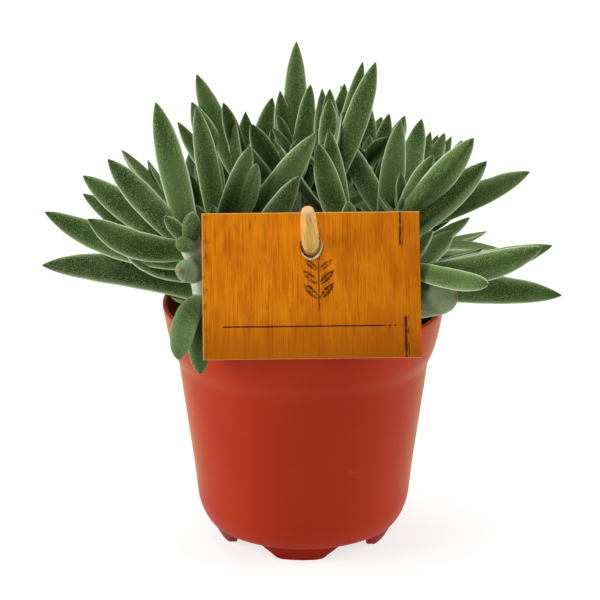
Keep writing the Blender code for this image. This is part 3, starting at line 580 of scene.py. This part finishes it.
def unit(vectors):
    """One vector, or each row of many, with a length of 1."""
    return vectors / (np.linalg.norm(vectors, axis=-1, keepdims=True) + TINY)


def stem_point(foot, top, share):
    """Place on a stem's curve, from just above the soil (0) to the crown (1)."""
    low, high = np.array([*foot, COLLAR_TOP]), np.array(top, float)
    middle = low + (high - low) * STEM_BEND
    return (1 - share) ** 2 * low + 2 * share * (1 - share) * middle + share ** 2 * high


def stem_way(foot, top, share):
    """Direction of a stem at a share of its height."""
    return unit(stem_point(foot, top, min(share + 0.05, 1.0)) - stem_point(foot, top, share - 0.05))


def leaf_outline(share, point, closing):
    """Half width of a leaf that is 1 wide, from its base (0) to its tip (1)."""
    base = 0.64 + 0.36 * np.sin(0.5 * np.pi * np.clip(share / 0.5, 0, 1))
    return 0.5 * base * (1.0 - np.clip((share - 0.5) / 0.5, 0, 1) ** point) ** closing


class Leaf:
    """One leaf: a root on its stem, a tip, a width, a bow along it and a twist about it."""

    def __init__(self, shoot, share, tip, width, bow, twist, tone, *blunt):
        foot, top = SHOOTS[shoot][:2]
        self.shoot = shoot
        self.share = share
        self.root = stem_point(foot, top, share)
        self.up = stem_way(foot, top, share)
        self.tip = np.array(tip, float)
        self.width = width
        self.bow = bow
        self.twist = math.radians(twist)
        self.tone = tone
        self.blunt = blunt
        self.point, self.closing, self.plump = POINTED, 1.0, 0.0

    def place(self, share, across, lift):
        """Points at shares of the length, across in half widths and lift in widths."""
        chord = self.tip - self.root
        along = unit(chord)
        flat = unit(np.cross(along, self.up))
        upper = np.cross(flat, along)
        side = math.cos(self.twist) * flat + math.sin(self.twist) * upper
        face = np.cross(side, along)
        share, across, lift = share[:, None], across[:, None], lift[:, None]
        width = 2.0 * leaf_outline(share, self.point, self.closing) * self.width
        sag = 4.0 * self.bow * share * (1.0 - share)
        spine = self.root + share * chord - sag * upper
        return spine + 0.5 * width * across * side + width * lift * face


# %% [markdown]
# The rule for the paired leaves gives each one's root, width and twist, and a seeded draw its small
# differences. The first draw of each leaf went to its heading, which isn't needed here: only the
# length is known, and the facets give the rest.

# %% List every leaf
def listed_leaves():
    """Every listed leaf and its length. The paired ones have no tip yet."""
    leaves = []
    for shoot, (foot, top, radius, rows) in SHOOTS.items():
        for share, x, y, z, *form in rows:
            leaf = Leaf(shoot, share, (x, y, z), *form)
            leaves.append((leaf, np.linalg.norm(leaf.tip - leaf.root)))
    for shoot, (first, last, pairs, long, short) in PAIRS.items():
        chance = random.Random(shoot)
        for pair in range(pairs):
            age = pair / (pairs - 1)
            length = long + (short - long) * age ** 2
            share = first + (last - first) * age
            for half in (0, 1):
                chance.random()
                size = length * chance.uniform(0.94, 1.06)
                twist = chance.uniform(-RULED_TWIST, RULED_TWIST)
                width = RULED_WIDTH[0] + RULED_WIDTH[1] * size
                # Darker low on the stem as painted shade, and paler or darker with the twist.
                tone = DEEP_PAINTED_SHADE * (1.0 - share) + twist / RULED_TWIST * TONE_SPREAD
                leaf = Leaf(shoot, share, (0.0, 0.0, 0.0), width, RULED_BOW, twist, tone)
                leaves.append((leaf, size))
    return leaves


# %% Find each leaf's facets in the frame
LEAF_TOP = 0.15
LEAF_KEEL = 0.40
FACET_KEEL = 0.44
MATCH = 0.02
ENOUGH = 4
SHRUNK = 0.6
# The plan of the four points on each of a faceted leaf's two last rings: share, across, lift
FACET_PLAN = np.array([(ring, *side) for ring in (0.62, 0.86) for side in (
    (1.0, 0.0), (0.0, LEAF_TOP), (-1.0, 0.0), (0.0, -FACET_KEEL))]).T


def corners_of(node):
    """A node's corners in millimetres, each once, as an array and as a search tree."""
    corners = np.array([vert.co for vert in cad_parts[node].data.vertices]) / MM
    corners = np.unique(np.round(corners, 4), axis=0)
    tree = KDTree(len(corners))
    for number, corner in enumerate(corners):
        tree.insert(corner, number)
    tree.balance()
    return corners, tree


def found_leaves():
    """The leaves of the plant, each with the tip that its facets have."""
    nodes = {shoot: corners_of(shoot) for shoot in SHOOTS}
    found = []
    for leaf, length in listed_leaves():
        corners, tree = nodes[leaf.shoot]
        reach = np.linalg.norm(corners - leaf.root, axis=1)
        best = 0
        shrunk = (reach > SHRUNK * length) & (reach < length)
        for near in (np.abs(reach - length) < MATCH, shrunk):
            for tip in corners[near]:
                leaf.tip = tip
                hits = sum(tree.find(point)[2] < MATCH for point in leaf.place(*FACET_PLAN))
                if hits > best:
                    best, chosen = hits, tip
            if best >= ENOUGH:
                break
        if best < ENOUGH:
            continue
        leaf.tip, leaf.closing = chosen, FULL_TIP
        if leaf.blunt:
            wide, long, turn, leaf.plump = leaf.blunt
            leaf.point, leaf.closing = BLUNT, ROUND_TIP
            leaf.width *= wide
            leaf.tip = leaf.root + long * (leaf.tip - leaf.root)
            leaf.twist += math.radians(turn)
        found.append(leaf)
    return found


leaves = found_leaves()
print("%d leaves found in the frame, of %d listed" % (len(leaves), len(listed_leaves())))

# %% [markdown]
# At each crown the smallest leaves close around the bud. They are too small for the solids, so
# they are only here: two crossed pairs, the inner one shorter and steeper, at every crown but the
# first, which has its own bud leaves. A few more small leaves stand deep between the crowns, where
# the plant is so dense that nothing shows through; the lowest of them are darker, a painted shade.

# %% The youngest leaves
YOUNGEST = ((0.955, 14.0, 48.0), (0.985, 9.0, 66.0))
YOUNGEST_WIDTH = 5.0
YOUNGEST_BOW = 0.5
YOUNGEST_TONE = 0.35
INNER_BOW = 1.0
INNER = (
    ("shoot_centre", 0.75, -10, 27, 190, 9, 0),
    ("shoot_centre", 0.6, -14, 30, 172, 8, -0.4),
    ("shoot_back_left", 0.7, -25, 40, 177, 8.5, -0.1),
    ("shoot_centre_right", 0.7, 8, 34, 189, 8.5, -0.1),
    ("shoot_right_back", 0.7, 16, 36, 190, 8, 0.1),
    ("shoot_far_right", 0.75, 55, 37, 169, 8, 0),
    ("shoot_far_right", 0.7, 64, 36, 167, 8, 0.1),
    ("shoot_centre_right", 0.45, 20, 30, 158, 8, -0.6),
    ("shoot_centre", 0.35, -20, 24, 160, 8, -0.6),
)
for shoot, (foot, top, radius, rows) in list(SHOOTS.items())[1:]:
    chance = random.Random("youngest " + shoot)
    heading = chance.uniform(0.0, math.pi)
    for pair, (share, length, rise) in enumerate(YOUNGEST):
        for half in (0, 1):
            turn = heading + (0.5 * pair + half) * math.pi + chance.uniform(-0.2, 0.2)
            level, climb = math.cos(math.radians(rise)), math.sin(math.radians(rise))
            way = np.array([level * math.cos(turn), level * math.sin(turn), climb])
            tip = stem_point(foot, top, share) + length * way
            leaves.append(Leaf(shoot, share, tip, YOUNGEST_WIDTH, YOUNGEST_BOW, 0.0, YOUNGEST_TONE))
for shoot, share, x, y, z, width, tone in INNER:
    leaves.append(Leaf(shoot, share, (x, y, z), width, INNER_BOW, 0.0, tone))
print("%d leaves with the youngest" % len(leaves))

# %% [markdown]
# A leaf is modelled from a ball of many rings. Its poles become the root and the tip, and its rings
# take the leaf's section: a shallow channel above, a rounded keel below and thin margins. A little
# noise keeps the margins from being drawn with a ruler. Three numbers go with every point for the
# finish: how far along it is, how near a margin, and how pale its leaf is, which holds painted
# light and shade as well as the leaf's own colour.

# %% Fine leaves
LEAF_RIDGE = 1.25
CHANNEL = 0.03
WAVER = 0.05
FULL = 1.08
PLUMP = 0.46


def section(turn):
    """A leaf's section at a turn: across in half widths and lift in widths."""
    across = math.cos(turn)
    open_part = 1.0 - across * across
    if math.sin(turn) >= 0.0:
        return across, LEAF_TOP * open_part ** 0.62 - CHANNEL * open_part ** 4
    return across, -LEAF_KEEL * (1.0 - abs(across) ** LEAF_RIDGE)


def pattern_mesh(name, shape):
    """A bmesh as a mesh with room for the finish's numbers, and its points."""
    mesh = bpy.data.meshes.new(name)
    shape.to_mesh(mesh)
    shape.free()
    mesh.attributes.new("leaf_form", "FLOAT_COLOR", "POINT")
    return mesh, np.array([vert.co for vert in mesh.vertices])


def ball(name, sides, loops):
    """A smooth ball, with the share from pole to pole and the turn of each of its points."""
    shape = bmesh.new()
    bmesh.ops.create_uvsphere(shape, u_segments=sides, v_segments=loops, radius=1.0)
    mesh, points = pattern_mesh(name, shape)
    mesh.shade_smooth()
    turn = np.arctan2(points[:, 1], points[:, 0])
    return mesh, 0.5 - 0.5 * points[:, 2], turn, np.abs(points[:, 2]) > 0.99999


def lay(shape, pattern, places, form, slot):
    """Copy a pattern mesh into a bmesh, with its points moved and given their three numbers."""
    mesh = pattern.copy()
    colours = np.ones((len(places), 4), np.float32)
    for column, values in enumerate(form):
        colours[:, column] = values
    mesh.vertices.foreach_set("co", np.asarray(places, np.float32).ravel())
    mesh.attributes["leaf_form"].data.foreach_set("color", colours.ravel())
    mesh.polygons.foreach_set("material_index", np.full(len(mesh.polygons), slot))
    shape.from_mesh(mesh)
    bpy.data.meshes.remove(mesh)


LEAF_BALL, LEAF_SHARE, LEAF_ROUND, LEAF_POLE = ball("leaf pattern", sides=28, loops=34)
LEAF_ACROSS, LEAF_LIFT = np.array([section(turn) for turn in LEAF_ROUND]).T * ~LEAF_POLE


def add_leaf(shape, leaf, number):
    """Put one fine leaf into a bmesh in millimetres."""
    waver = np.array([noise.noise(Vector((9.0 * share, math.copysign(2.0, across), 5.0 * number)))
                      for share, across in zip(LEAF_SHARE, LEAF_ACROSS)])
    lift = LEAF_LIFT + leaf.plump * (PLUMP * np.sin(LEAF_ROUND) * ~LEAF_POLE - LEAF_LIFT)
    places = leaf.place(LEAF_SHARE, LEAF_ACROSS * (FULL + WAVER * waver), lift)
    margin = np.abs(LEAF_ACROSS) * (1.0 - 0.6 * leaf.plump)
    lay(shape, LEAF_BALL, places, (LEAF_SHARE, margin, 0.5 + 0.5 * leaf.tone), 0)


# %% [markdown]
# Hairs make the plant look dusted with frost. Each is a closed spike of four faces, and there are
# hundreds on a leaf, so they stay few-sided and sparse: a row stands out along each margin, where
# they catch the light, and the rest are strewn over both faces and lean towards the tip.

# %% Hairs
HAIRS_ON_LEAF = 400
MARGIN_SHARE = 0.55
HAIR_LENGTH = (0.30, 0.62)
HAIR_RADIUS = 0.055
HAIR_LEAN = 0.5
HAIR_SEED = 1000
HAIR_ROOM = (0.10, 0.998)
MARGIN_SPREAD = 0.12
FACE_LENGTH = 0.7
SPIKE_GAP = 4.0
SPIKE_LIFT = 0.42

# A mesh of spikes side by side, and for each of its points the spike and the corner of it
shape = bmesh.new()
for hair in range(HAIRS_ON_LEAF):
    bmesh.ops.create_cone(shape, cap_ends=True, segments=3, radius1=1.0, radius2=0.0, depth=1.0,
                          matrix=Matrix.Translation((SPIKE_GAP * hair, 0.0, 0.0)))
HAIR_MESH, HAIR_CORNERS = pattern_mesh("hair pattern", shape)
HAIR_OWNER = np.round(HAIR_CORNERS[:, 0] / SPIKE_GAP).astype(int)
HAIR_CORNERS[:, 0] -= SPIKE_GAP * HAIR_OWNER


def add_hairs(shape, leaf, number):
    """Strew spikes over a leaf: a row along its margins and the rest over its faces."""
    chance = np.random.default_rng(HAIR_SEED + number)
    share = chance.uniform(*HAIR_ROOM, HAIRS_ON_LEAF) ** 0.85
    margin = chance.random(HAIRS_ON_LEAF) < MARGIN_SHARE
    spread = chance.uniform(-1.57, 1.57, HAIRS_ON_LEAF)
    turn = np.where(margin, chance.normal(0.0, MARGIN_SPREAD, HAIRS_ON_LEAF), spread)
    turn += math.pi * (chance.random(HAIRS_ON_LEAF) < 0.5)
    here = np.array([section(one) for one in turn]).T
    beside = np.array([section(one + 0.05) for one in turn]).T
    spots = leaf.place(share, *here)
    ahead = unit(leaf.place(share * 1.01, *here) - spots)
    out = unit(np.cross(ahead, leaf.place(share, *beside) - spots))
    way = unit(out + HAIR_LEAN * ahead + chance.normal(0.0, 0.3, out.shape))
    flat = unit(np.cross(way, (0.123, 0.456, 0.881)))
    deep = np.cross(way, flat)
    length = chance.uniform(*HAIR_LENGTH, HAIRS_ON_LEAF) * np.where(margin, 1.0, FACE_LENGTH)
    x, y, z = (HAIR_CORNERS[:, axis, None] for axis in range(3))
    own = HAIR_OWNER
    places = spots[own] + HAIR_RADIUS * (x * flat[own] + y * deep[own])
    places += (length[own, None] * (z + SPIKE_LIFT)) * way[own]
    lay(shape, HAIR_MESH, places, (share[own], margin[own]), 2)


# %% [markdown]
# The stem is pale felt. It swells a little where each pair of leaves sits, and it ends in a bud
# between the youngest pair.

# %% Stems
STEM_BELOW = 0.12
STEM_DOME = 0.04
JOINT_SWELL = 0.06
JOINT_REACH = 0.035
STEM_BALL, STEM_SHARE, STEM_ROUND, STEM_POLE = ball("stem pattern", sides=22, loops=60)


def add_stem(shape, shoot, joints):
    """Put one stem into a bmesh in millimetres."""
    foot, top, radius = SHOOTS[shoot][:3]
    height = top[2] - COLLAR_TOP
    places, climbs = [], []
    for share, turn, pole in zip(1.0 - STEM_SHARE, STEM_ROUND, STEM_POLE):
        climb = -STEM_BELOW + (1.0 + STEM_BELOW) * min(1.0, share * (1.0 + STEM_DOME))
        beyond = max(0.0, share * (1.0 + STEM_DOME) - 1.0) / STEM_DOME
        if climb < 0.0:
            centre = np.array([*foot, COLLAR_TOP + climb * height])
            way = np.array([0.0, 0.0, 1.0])
        else:
            centre = stem_point(foot, top, climb)
            way = stem_way(foot, top, max(climb, 0.05))
        flat = unit(np.cross(way, (0.0, 1.0, 0.0)))
        deep = np.cross(way, flat)
        wide = radius * (1.0 - STEM_SLIM * max(climb, 0.0))
        near = sum(math.exp(-((climb - joint) / JOINT_REACH) ** 2) for joint in joints)
        wide *= 1.0 + JOINT_SWELL * near
        wide *= 0.0 if pole else math.sqrt(max(0.0, 1.0 - beyond ** 2))
        cos, sin = math.cos(turn), math.sin(turn)
        wide *= 1.0 + 0.03 * noise.noise(Vector((2.0 * cos, 2.0 * sin, 8.0 * share)))
        places.append(centre + BUD * beyond * way + wide * (cos * flat + sin * deep))
        climbs.append(max(climb, 0.0))
    lay(shape, STEM_BALL, places, (climbs, 0.0, 0.5), 1)


# %% [markdown]
# The leaf's skin is dark green, darker or paler leaf by leaf, partly by its own colour and partly by
# painted light and shade, with a fine frost of hairs too small to model, which gathers in specks.
# Painted shade darkens the middle of the leaf, and a broad band of painted light runs into a pale
# line along each margin, which is the leaf's pale hairy edge brightened by painted rim light. The
# oldest leaves are greyer, with a brown tip. A soft sheen does the rest, because short hairs catch
# light at a grazing angle.

# %% Leaf skin
def leaf_form(place):
    """The numbers that go with each point of a leaf: along, near a margin, and how pale, painted light
    and shade included.
    """
    form = place.add("Attribute", attribute_name="leaf_form", attribute_type="GEOMETRY")
    split = form.add("SeparateColor", {0: form}).socket.node
    return [Wire(place.tree, socket) for socket in split.outputs]


skin, shader, place = new_material(
    "velvet leaf", Roughness=0.65, Specular_IOR_Level=0.12, Sheen_Weight=0.75,
    Sheen_Roughness=0.36, Sheen_Tint=(0.80, 0.97, 0.46, 1.0))
along, across, tone = leaf_form(place)
frost = place.grain(2000.0, 2.0, 0.6)
pores = place.grain(2700.0, 1.0)
old = tone.ease(0.94, 0.97)
green = coated(
    place.grain(70.0, 3.0).ease(0.32, 0.70).mix((0.029, 0.070, 0.007), (0.064, 0.136, 0.016)),
    (place.grain(240.0, 2.0).ease(0.45, 0.75) * 0.35, (0.072, 0.130, 0.024)),
    # Dark leaves and pale leaves: partly their own colour, partly painted light and shade set leaf by
    # leaf.
    ((1.0 - tone.ease(-0.1, 0.5)) * 0.85, (0.010, 0.018, 0.004)),
    (tone.ease(0.5, 1.0) * 0.66, (0.165, 0.255, 0.080)),
    (frost.ease(0.47, 0.60) * 0.78, (0.190, 0.280, 0.095)),
    (pores.ease(0.48, 0.60) * 0.86, (0.009, 0.022, 0.002)),
    # Painted shade: the middle of the leaf is darker.
    ((1.0 - across.ease(0.08, 0.60)) * 0.50, (0.020, 0.042, 0.006)),
    (place.grain(34.0, 1.0).ease(0.50, 0.72) * 0.36, (0.115, 0.170, 0.064)),
    ((1.0 - along.ease(0.0, 0.22)) * 0.30, (0.150, 0.210, 0.090)),
    # Painted light: a broad pale band towards each margin.
    (across.ease(0.56, 0.92) * 0.60, (0.205, 0.285, 0.125)),
    # The pale margin line: the leaf's pale hairy edge, brightened as painted rim light.
    (across.ease(0.87, 0.975) * 0.90, (0.49, 0.58, 0.38)),
    (old * 0.34, (0.27, 0.31, 0.22)),
    (old * along.ease(0.965, 0.998) * 0.85, (0.15, 0.070, 0.026)))
connect(shader, Base_Color=green, Normal=place.bump(frost - pores * 0.6, 0.00030, 0.70))

# %% Stem felt
felt, shader, place = new_material(
    "stem felt", Roughness=0.85, Specular_IOR_Level=0.15, Sheen_Weight=0.5, Sheen_Roughness=0.5,
    Sheen_Tint=(0.9, 0.95, 0.80, 1.0))
climb = leaf_form(place)[0]
nap = place.grain(1100.0, 3.0, 0.6)
pale = coated(nap.ease(0.3, 0.7).mix((0.45, 0.54, 0.35), (0.66, 0.73, 0.56)),
              ((1.0 - climb.ease(0.0, 0.35)) * 0.6, (0.16, 0.13, 0.08)),
              (climb.ease(0.94, 1.0) * 0.85, (0.105, 0.165, 0.060)))
connect(shader, Base_Color=pale, Normal=place.bump(nap, 0.0003, 0.6))

# %% Hair
hair, shader, place = new_material("leaf hairs", Roughness=0.6, Specular_IOR_Level=0.3)
on_margin = leaf_form(place)[1]
connect(shader, Base_Color=on_margin.mix((0.055, 0.100, 0.028), (0.46, 0.54, 0.37)))

print("finishes for leaf, stem and hair")

# %% Build the shoots
for shoot in SHOOTS:
    own = [(number, leaf) for number, leaf in enumerate(leaves) if leaf.shoot == shoot]
    shape = bmesh.new()
    shape.verts.layers.float_color.new("leaf_form")
    add_stem(shape, shoot, sorted({leaf.share for number, leaf in own}))
    for number, leaf in own:
        add_leaf(shape, leaf, number)
        add_hairs(shape, leaf, number)
    bmesh.ops.recalc_face_normals(shape, faces=shape.faces)
    new_piece("leafy_" + shoot, shape, [skin, felt, hair], "leaves", [shoot], smooth=False)

# %% [markdown]
# ## The card
# The card is stiff board with a print of varnished planks on both faces and a bare pale core at its
# cut edges. Its print is made in the card's own plane: a Mapping node turns places in the frame into
# places on the card, and every plank, crack and line is drawn there.

# %% The card's plane
HALF_WIDTH = 44.5
CARD_HEIGHT = 60.0
CARD_FOOT = Vector((3.7, -62.2, 101.6))
CARD_LEAN = math.radians(26.0)
CARD_YAW = math.radians(2.0)
STICK_FOOT = Vector((9.0, 12.0, 58.0))
STICK_TIP = Vector((1.6, -52.5, 162.0))

card_right = Vector((math.cos(CARD_YAW), math.sin(CARD_YAW), 0.0))
card_back = Vector((-math.sin(CARD_YAW), math.cos(CARD_YAW), 0.0))
card_up = math.sin(CARD_LEAN) * card_back + math.cos(CARD_LEAN) * Vector((0.0, 0.0, 1.0))
card_out = card_right.cross(card_up)
card_turn = Matrix((card_right, card_up, card_out)).transposed()


def on_card(x, y, out=0.0):
    """A place in the frame from one on the card: millimetres from the middle of its lower edge."""
    return CARD_FOOT + x * card_right + y * card_up + out * card_out


# %% Ways to draw on the card
def in_plane(place, origin, turn):
    """Places in millimetres, as seen from a turned piece with its own origin."""
    return place.add("Mapping", {"Vector": place, "Location": origin * MM, "Scale": (MM, MM, MM),
                                 "Rotation": turn.to_euler()}, vector_type="TEXTURE")


printed, shader, place = new_material("planks on card", Specular_IOR_Level=0.02)
flat = in_plane(place, CARD_FOOT, card_turn)
split = flat.add("SeparateXYZ", {0: flat}).socket.node
x_on, y_on, out_on = [Wire(flat.tree, socket) for socket in split.outputs]


def stretched(x, y, shift=0.0):
    """The card's plane squeezed along x and y."""
    return flat.squeezed(x, y, 0.0, shift)


def stroke(distance, half, soft=0.15):
    """1 within half a line's width of its middle, fading over soft."""
    return 1.0 - abs(distance).ease(half, half + soft)


def both(first, second):
    return first.maths("MAXIMUM", first, second)


def crack(x, low, high, wide, seed):
    """A split in a plank: it wanders a little, and it opens and closes along its way."""
    off = x_on - x + (stretched(0.0, 0.07, seed).grain(1.0, 4.0, 0.55) - 0.5) * 2.2
    swell = stretched(0.0, 0.30, seed + 3.0).grain(1.0, 3.0).ease(0.24, 0.56) * wide
    beside = stretched(0.0, 0.16, seed + 7.0).grain(1.0, 2.0).ease(0.46, 0.56)
    span = y_on.ease(low - 1.0, low + 1.0) * (1.0 - y_on.ease(high - 1.0, high + 1.0))
    return both(stroke(off, swell), stroke(off - 1.1, swell * 0.3) * beside) * span


print("the card leans back by %.0f degrees" % math.degrees(CARD_LEAN))

# %% [markdown]
# The middle of the card carries a small printed sprig: a stem with three pairs of leaves and one
# at its end. Each leaf is the room between two arcs, which is a short sum in the leaf's own turned
# coordinates, and a noise wears the ink away here and there.

# %% A printed sprig
SPRIG_FOOT = (3.0, 19.0)
SPRIG_STEM = 20.0
SPRIG_PAIRS = ((5.0, 48.0, 9.5), (11.0, 44.0, 9.0), (17.0, 38.0, 7.5))
SPRIG_TIP = (20.5, 90.0, 8.0)
SPRIG_SLIM = 0.17
VEIN = 0.12


def printed_leaf(x, y, heading, length):
    """Ink in the form of one leaf with a bare vein down its middle."""
    cos, sin = math.cos(math.radians(heading)), math.sin(math.radians(heading))
    along = (x_on - x) * (cos / length) + (y_on - y) * (sin / length)
    aside = (x_on - x) * -sin + (y_on - y) * cos
    swell = along * (1.0 - along) * (4.0 * SPRIG_SLIM * length)
    inside = (swell - abs(aside)).ease(0.0, 0.22)
    return inside * (1.0 - stroke(aside, VEIN) * (1.0 - along.ease(0.70, 0.80)))


x, y = SPRIG_FOOT
stem_top = y + SPRIG_STEM
sprig = stroke(x_on - x, 0.20) * y_on.ease(y, y + 0.5) * (1.0 - y_on.ease(stem_top, stem_top + 1.0))
sprig_leaves = [(rise, heading, length) for rise, slant, length in SPRIG_PAIRS
                for heading in (slant, 180.0 - slant)] + [SPRIG_TIP]
for rise, heading, length in sprig_leaves:
    sprig = both(sprig, printed_leaf(x, y + rise, heading, length))
sprig = sprig * flat.grain(1.1, 3.0).ease(0.36, 0.48)
print("a sprig with %d leaves" % len(sprig_leaves))

# %% The card's print
fine = stretched(1.9, 0.05).grain(1.0, 3.0, 0.7)
hair_line = stretched(2.0, 0.05, 3.0).grain(1.0, 2.0).ease(0.54, 0.70)
broad = stretched(0.16, 0.035, 5.0).grain(1.0, 3.0)
blot = stretched(0.14, 0.09, 8.0).grain(1.0, 2.0)
dash = stretched(0.95, 0.16, 11.0).grain(1.0, 2.0).ease(0.66, 0.76)
# low_edge, with the last coat of wood, makes the card darker towards its bottom and its right side.
low_edge = 1.0 - y_on.ease(-4.0, 26.0)
left_edge = 1.0 - (x_on + HALF_WIDTH).ease(0.0, 5.0)
wear = left_edge * stretched(0.30, 0.30, 21.0).grain(1.0, 3.0).ease(0.48, 0.66)
wood = coated(fine.ease(0.28, 0.72).mix((0.76, 0.240, 0.0072), (0.53, 0.132, 0.0022)),
              (broad.ease(0.44, 0.66) * 0.55, (0.45, 0.108, 0.003)),
              (blot.ease(0.50, 0.70) * 0.45, (0.75, 0.250, 0.006)),
              (hair_line * 0.60, (0.27, 0.056, 0.003)), (dash * 0.75, (0.20, 0.035, 0.004)),
              (wear * 0.75, (0.22, 0.045, 0.004)),
              (low_edge * 0.74 + x_on.ease(-10.0, 44.0) * 0.20, (0.30, 0.074, 0.003)))
rule_gaps = both(1.0 - x_on.ease(28.0, 31.0), stretched(0.9, 0.0, 2.0).grain(1.0, 1.0).ease(0.48, 0.55))
rule = stroke(y_on - 13.2 + (flat.grain(0.8, 2.0) - 0.5) * 0.35, 0.24) * x_on.ease(-36.8, -35.8)
rule = rule * (1.0 - x_on.ease(36.5, 37.5)) * rule_gaps
marks = both(crack(36.6, 46.0, 60.5, 0.42, 2.0), crack(38.2, -0.5, 17.0, 0.50, 9.0))
marks = both(marks, crack(19.0, 17.0, 44.0, 0.05, 4.0) * 0.6)
ink = both(marks, both(rule, sprig * 0.92))
face = abs(out_on).ease(0.36, 0.385)
# rim is a painted highlight along the card's left and top edges, on its face.
rim = both(1.0 - (x_on + HALF_WIDTH).ease(0.25, 0.45),
           y_on.ease(CARD_HEIGHT - 0.45, CARD_HEIGHT - 0.25))
board = coated((0.80, 0.62, 0.36), (face, (ink * 0.93).mix(wood, (0.040, 0.010, 0.004))),
               (rim * 0.55, (0.86, 0.55, 0.18)))
connect(shader, Base_Color=board, Roughness=fine * 0.12 + 0.40,
        Normal=place.bump(fine * 0.5 - marks, 0.00006, 0.6))
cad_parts["card"].data.materials.clear()
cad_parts["card"].data.materials.append(printed)

# %% [markdown]
# Where the stick was pushed through, the punched hole has torn: a crescent of pale paper core
# stands up along its lower edge, thicker where the stick leans on it. It is a flattened ball drawn
# along an arc, with a noise for its ragged rim.

# %% Torn paper at the hole
HOLE_HALF = (4.3, 5.8)
TORN_FROM = math.radians(-150.0)
TORN_TO = math.radians(28.0)
TORN_WIDTH = 0.85
TORN_THICK = 0.32
TORN_LIFT = 0.62

stick_way = (STICK_TIP - STICK_FOOT).normalized()
meet = STICK_FOOT + stick_way * ((CARD_FOOT - STICK_FOOT).dot(card_out) / stick_way.dot(card_out))
hole_x = (meet - CARD_FOOT).dot(card_right)
hole_y = (meet - CARD_FOOT).dot(card_up) - 0.6


def torn_place(share, point):
    """Where a point of the ball lies on the torn rim."""
    turn = TORN_FROM + (TORN_TO - TORN_FROM) * share
    ragged = 0.75 + 0.9 * abs(noise.noise(Vector((14.0 * share, 2.0, 0.5))))
    reach = 0.5 * point.x * TORN_WIDTH * ragged
    lift = TORN_LIFT + 0.35 * reach + 0.4 * noise.noise(Vector((9.0 * share, 5.0, 1.0)))
    return on_card(hole_x + (HOLE_HALF[0] + 0.2 + reach) * math.cos(turn),
                   hole_y + (HOLE_HALF[1] + 0.2 + reach) * math.sin(turn), lift + point.y * TORN_THICK)


torn, shader, place = new_material("torn paper core", Roughness=0.9)
connect(shader, Base_Color=place.grain(1400.0, 3.0).mix((0.50, 0.33, 0.15), (0.72, 0.58, 0.38)),
        Normal=place.bump(place.grain(2500.0, 2.0), 0.0002, 0.6))
new_piece("torn_paper", moved_ball(12, 72, torn_place), [torn], "card")

# %% [markdown]
# ## The stick
# The card hangs on a split wooden stick, pushed slantwise into the soil. It is a rod with flats from
# the knife and a clean cut across its end, where the wood is pale.

# %% A whittled stick
stick_length = (STICK_TIP - STICK_FOOT).length
stick_turn = stick_way.to_track_quat("Z", "Y").to_matrix()


def stick_radius(height):
    """The stick's radius at a height above its buried point."""
    down = stick_length - height
    known = (0.0, 0.12, 0.4, 1.2, 5.0, 14.0, 30.0, stick_length - 14.0, stick_length)
    radii = (0.0, 2.15, 2.45, 2.75, 3.15, 3.60, 3.68, 3.68, 1.0)
    return float(np.interp(down, known, radii))


def stick_place(share, point):
    """Where a point of the ball lies on the stick, whose rings are closer at its cut end."""
    turn = math.atan2(point.y, point.x)
    height = (1.0 - share ** 1.6) * stick_length
    shave = 1.0 - 0.035 * math.cos(5.0 * turn + 0.8) ** 2
    shave -= 0.03 * abs(noise.noise(Vector((turn, 0.12 * height, 3.0))))
    reach = stick_radius(height) * shave
    return STICK_FOOT + stick_turn @ Vector((reach * math.cos(turn), reach * math.sin(turn), height))


# %% Split wood
split_wood, shader, place = new_material("split wood", Roughness=0.7, Specular_IOR_Level=0.3)
own = in_plane(place, STICK_FOOT, stick_turn)
fibre = own.squeezed(1.0, 1.0, 0.06).grain(1.6, 4.0, 0.6)
end = own.add("SeparateXYZ", {0: own}, out=2).ease(stick_length - 3.0, stick_length - 0.6)
wood = coated(fibre.ease(0.3, 0.7).mix((0.76, 0.49, 0.135), (0.50, 0.275, 0.058)),
              (end * 0.7, (0.60, 0.37, 0.17)))
connect(shader, Base_Color=wood, Normal=place.bump(fibre, 0.0003, 0.7))
new_piece("split_stick", moved_ball(28, 70, stick_place), [split_wood], "stick wood", ["stick"])
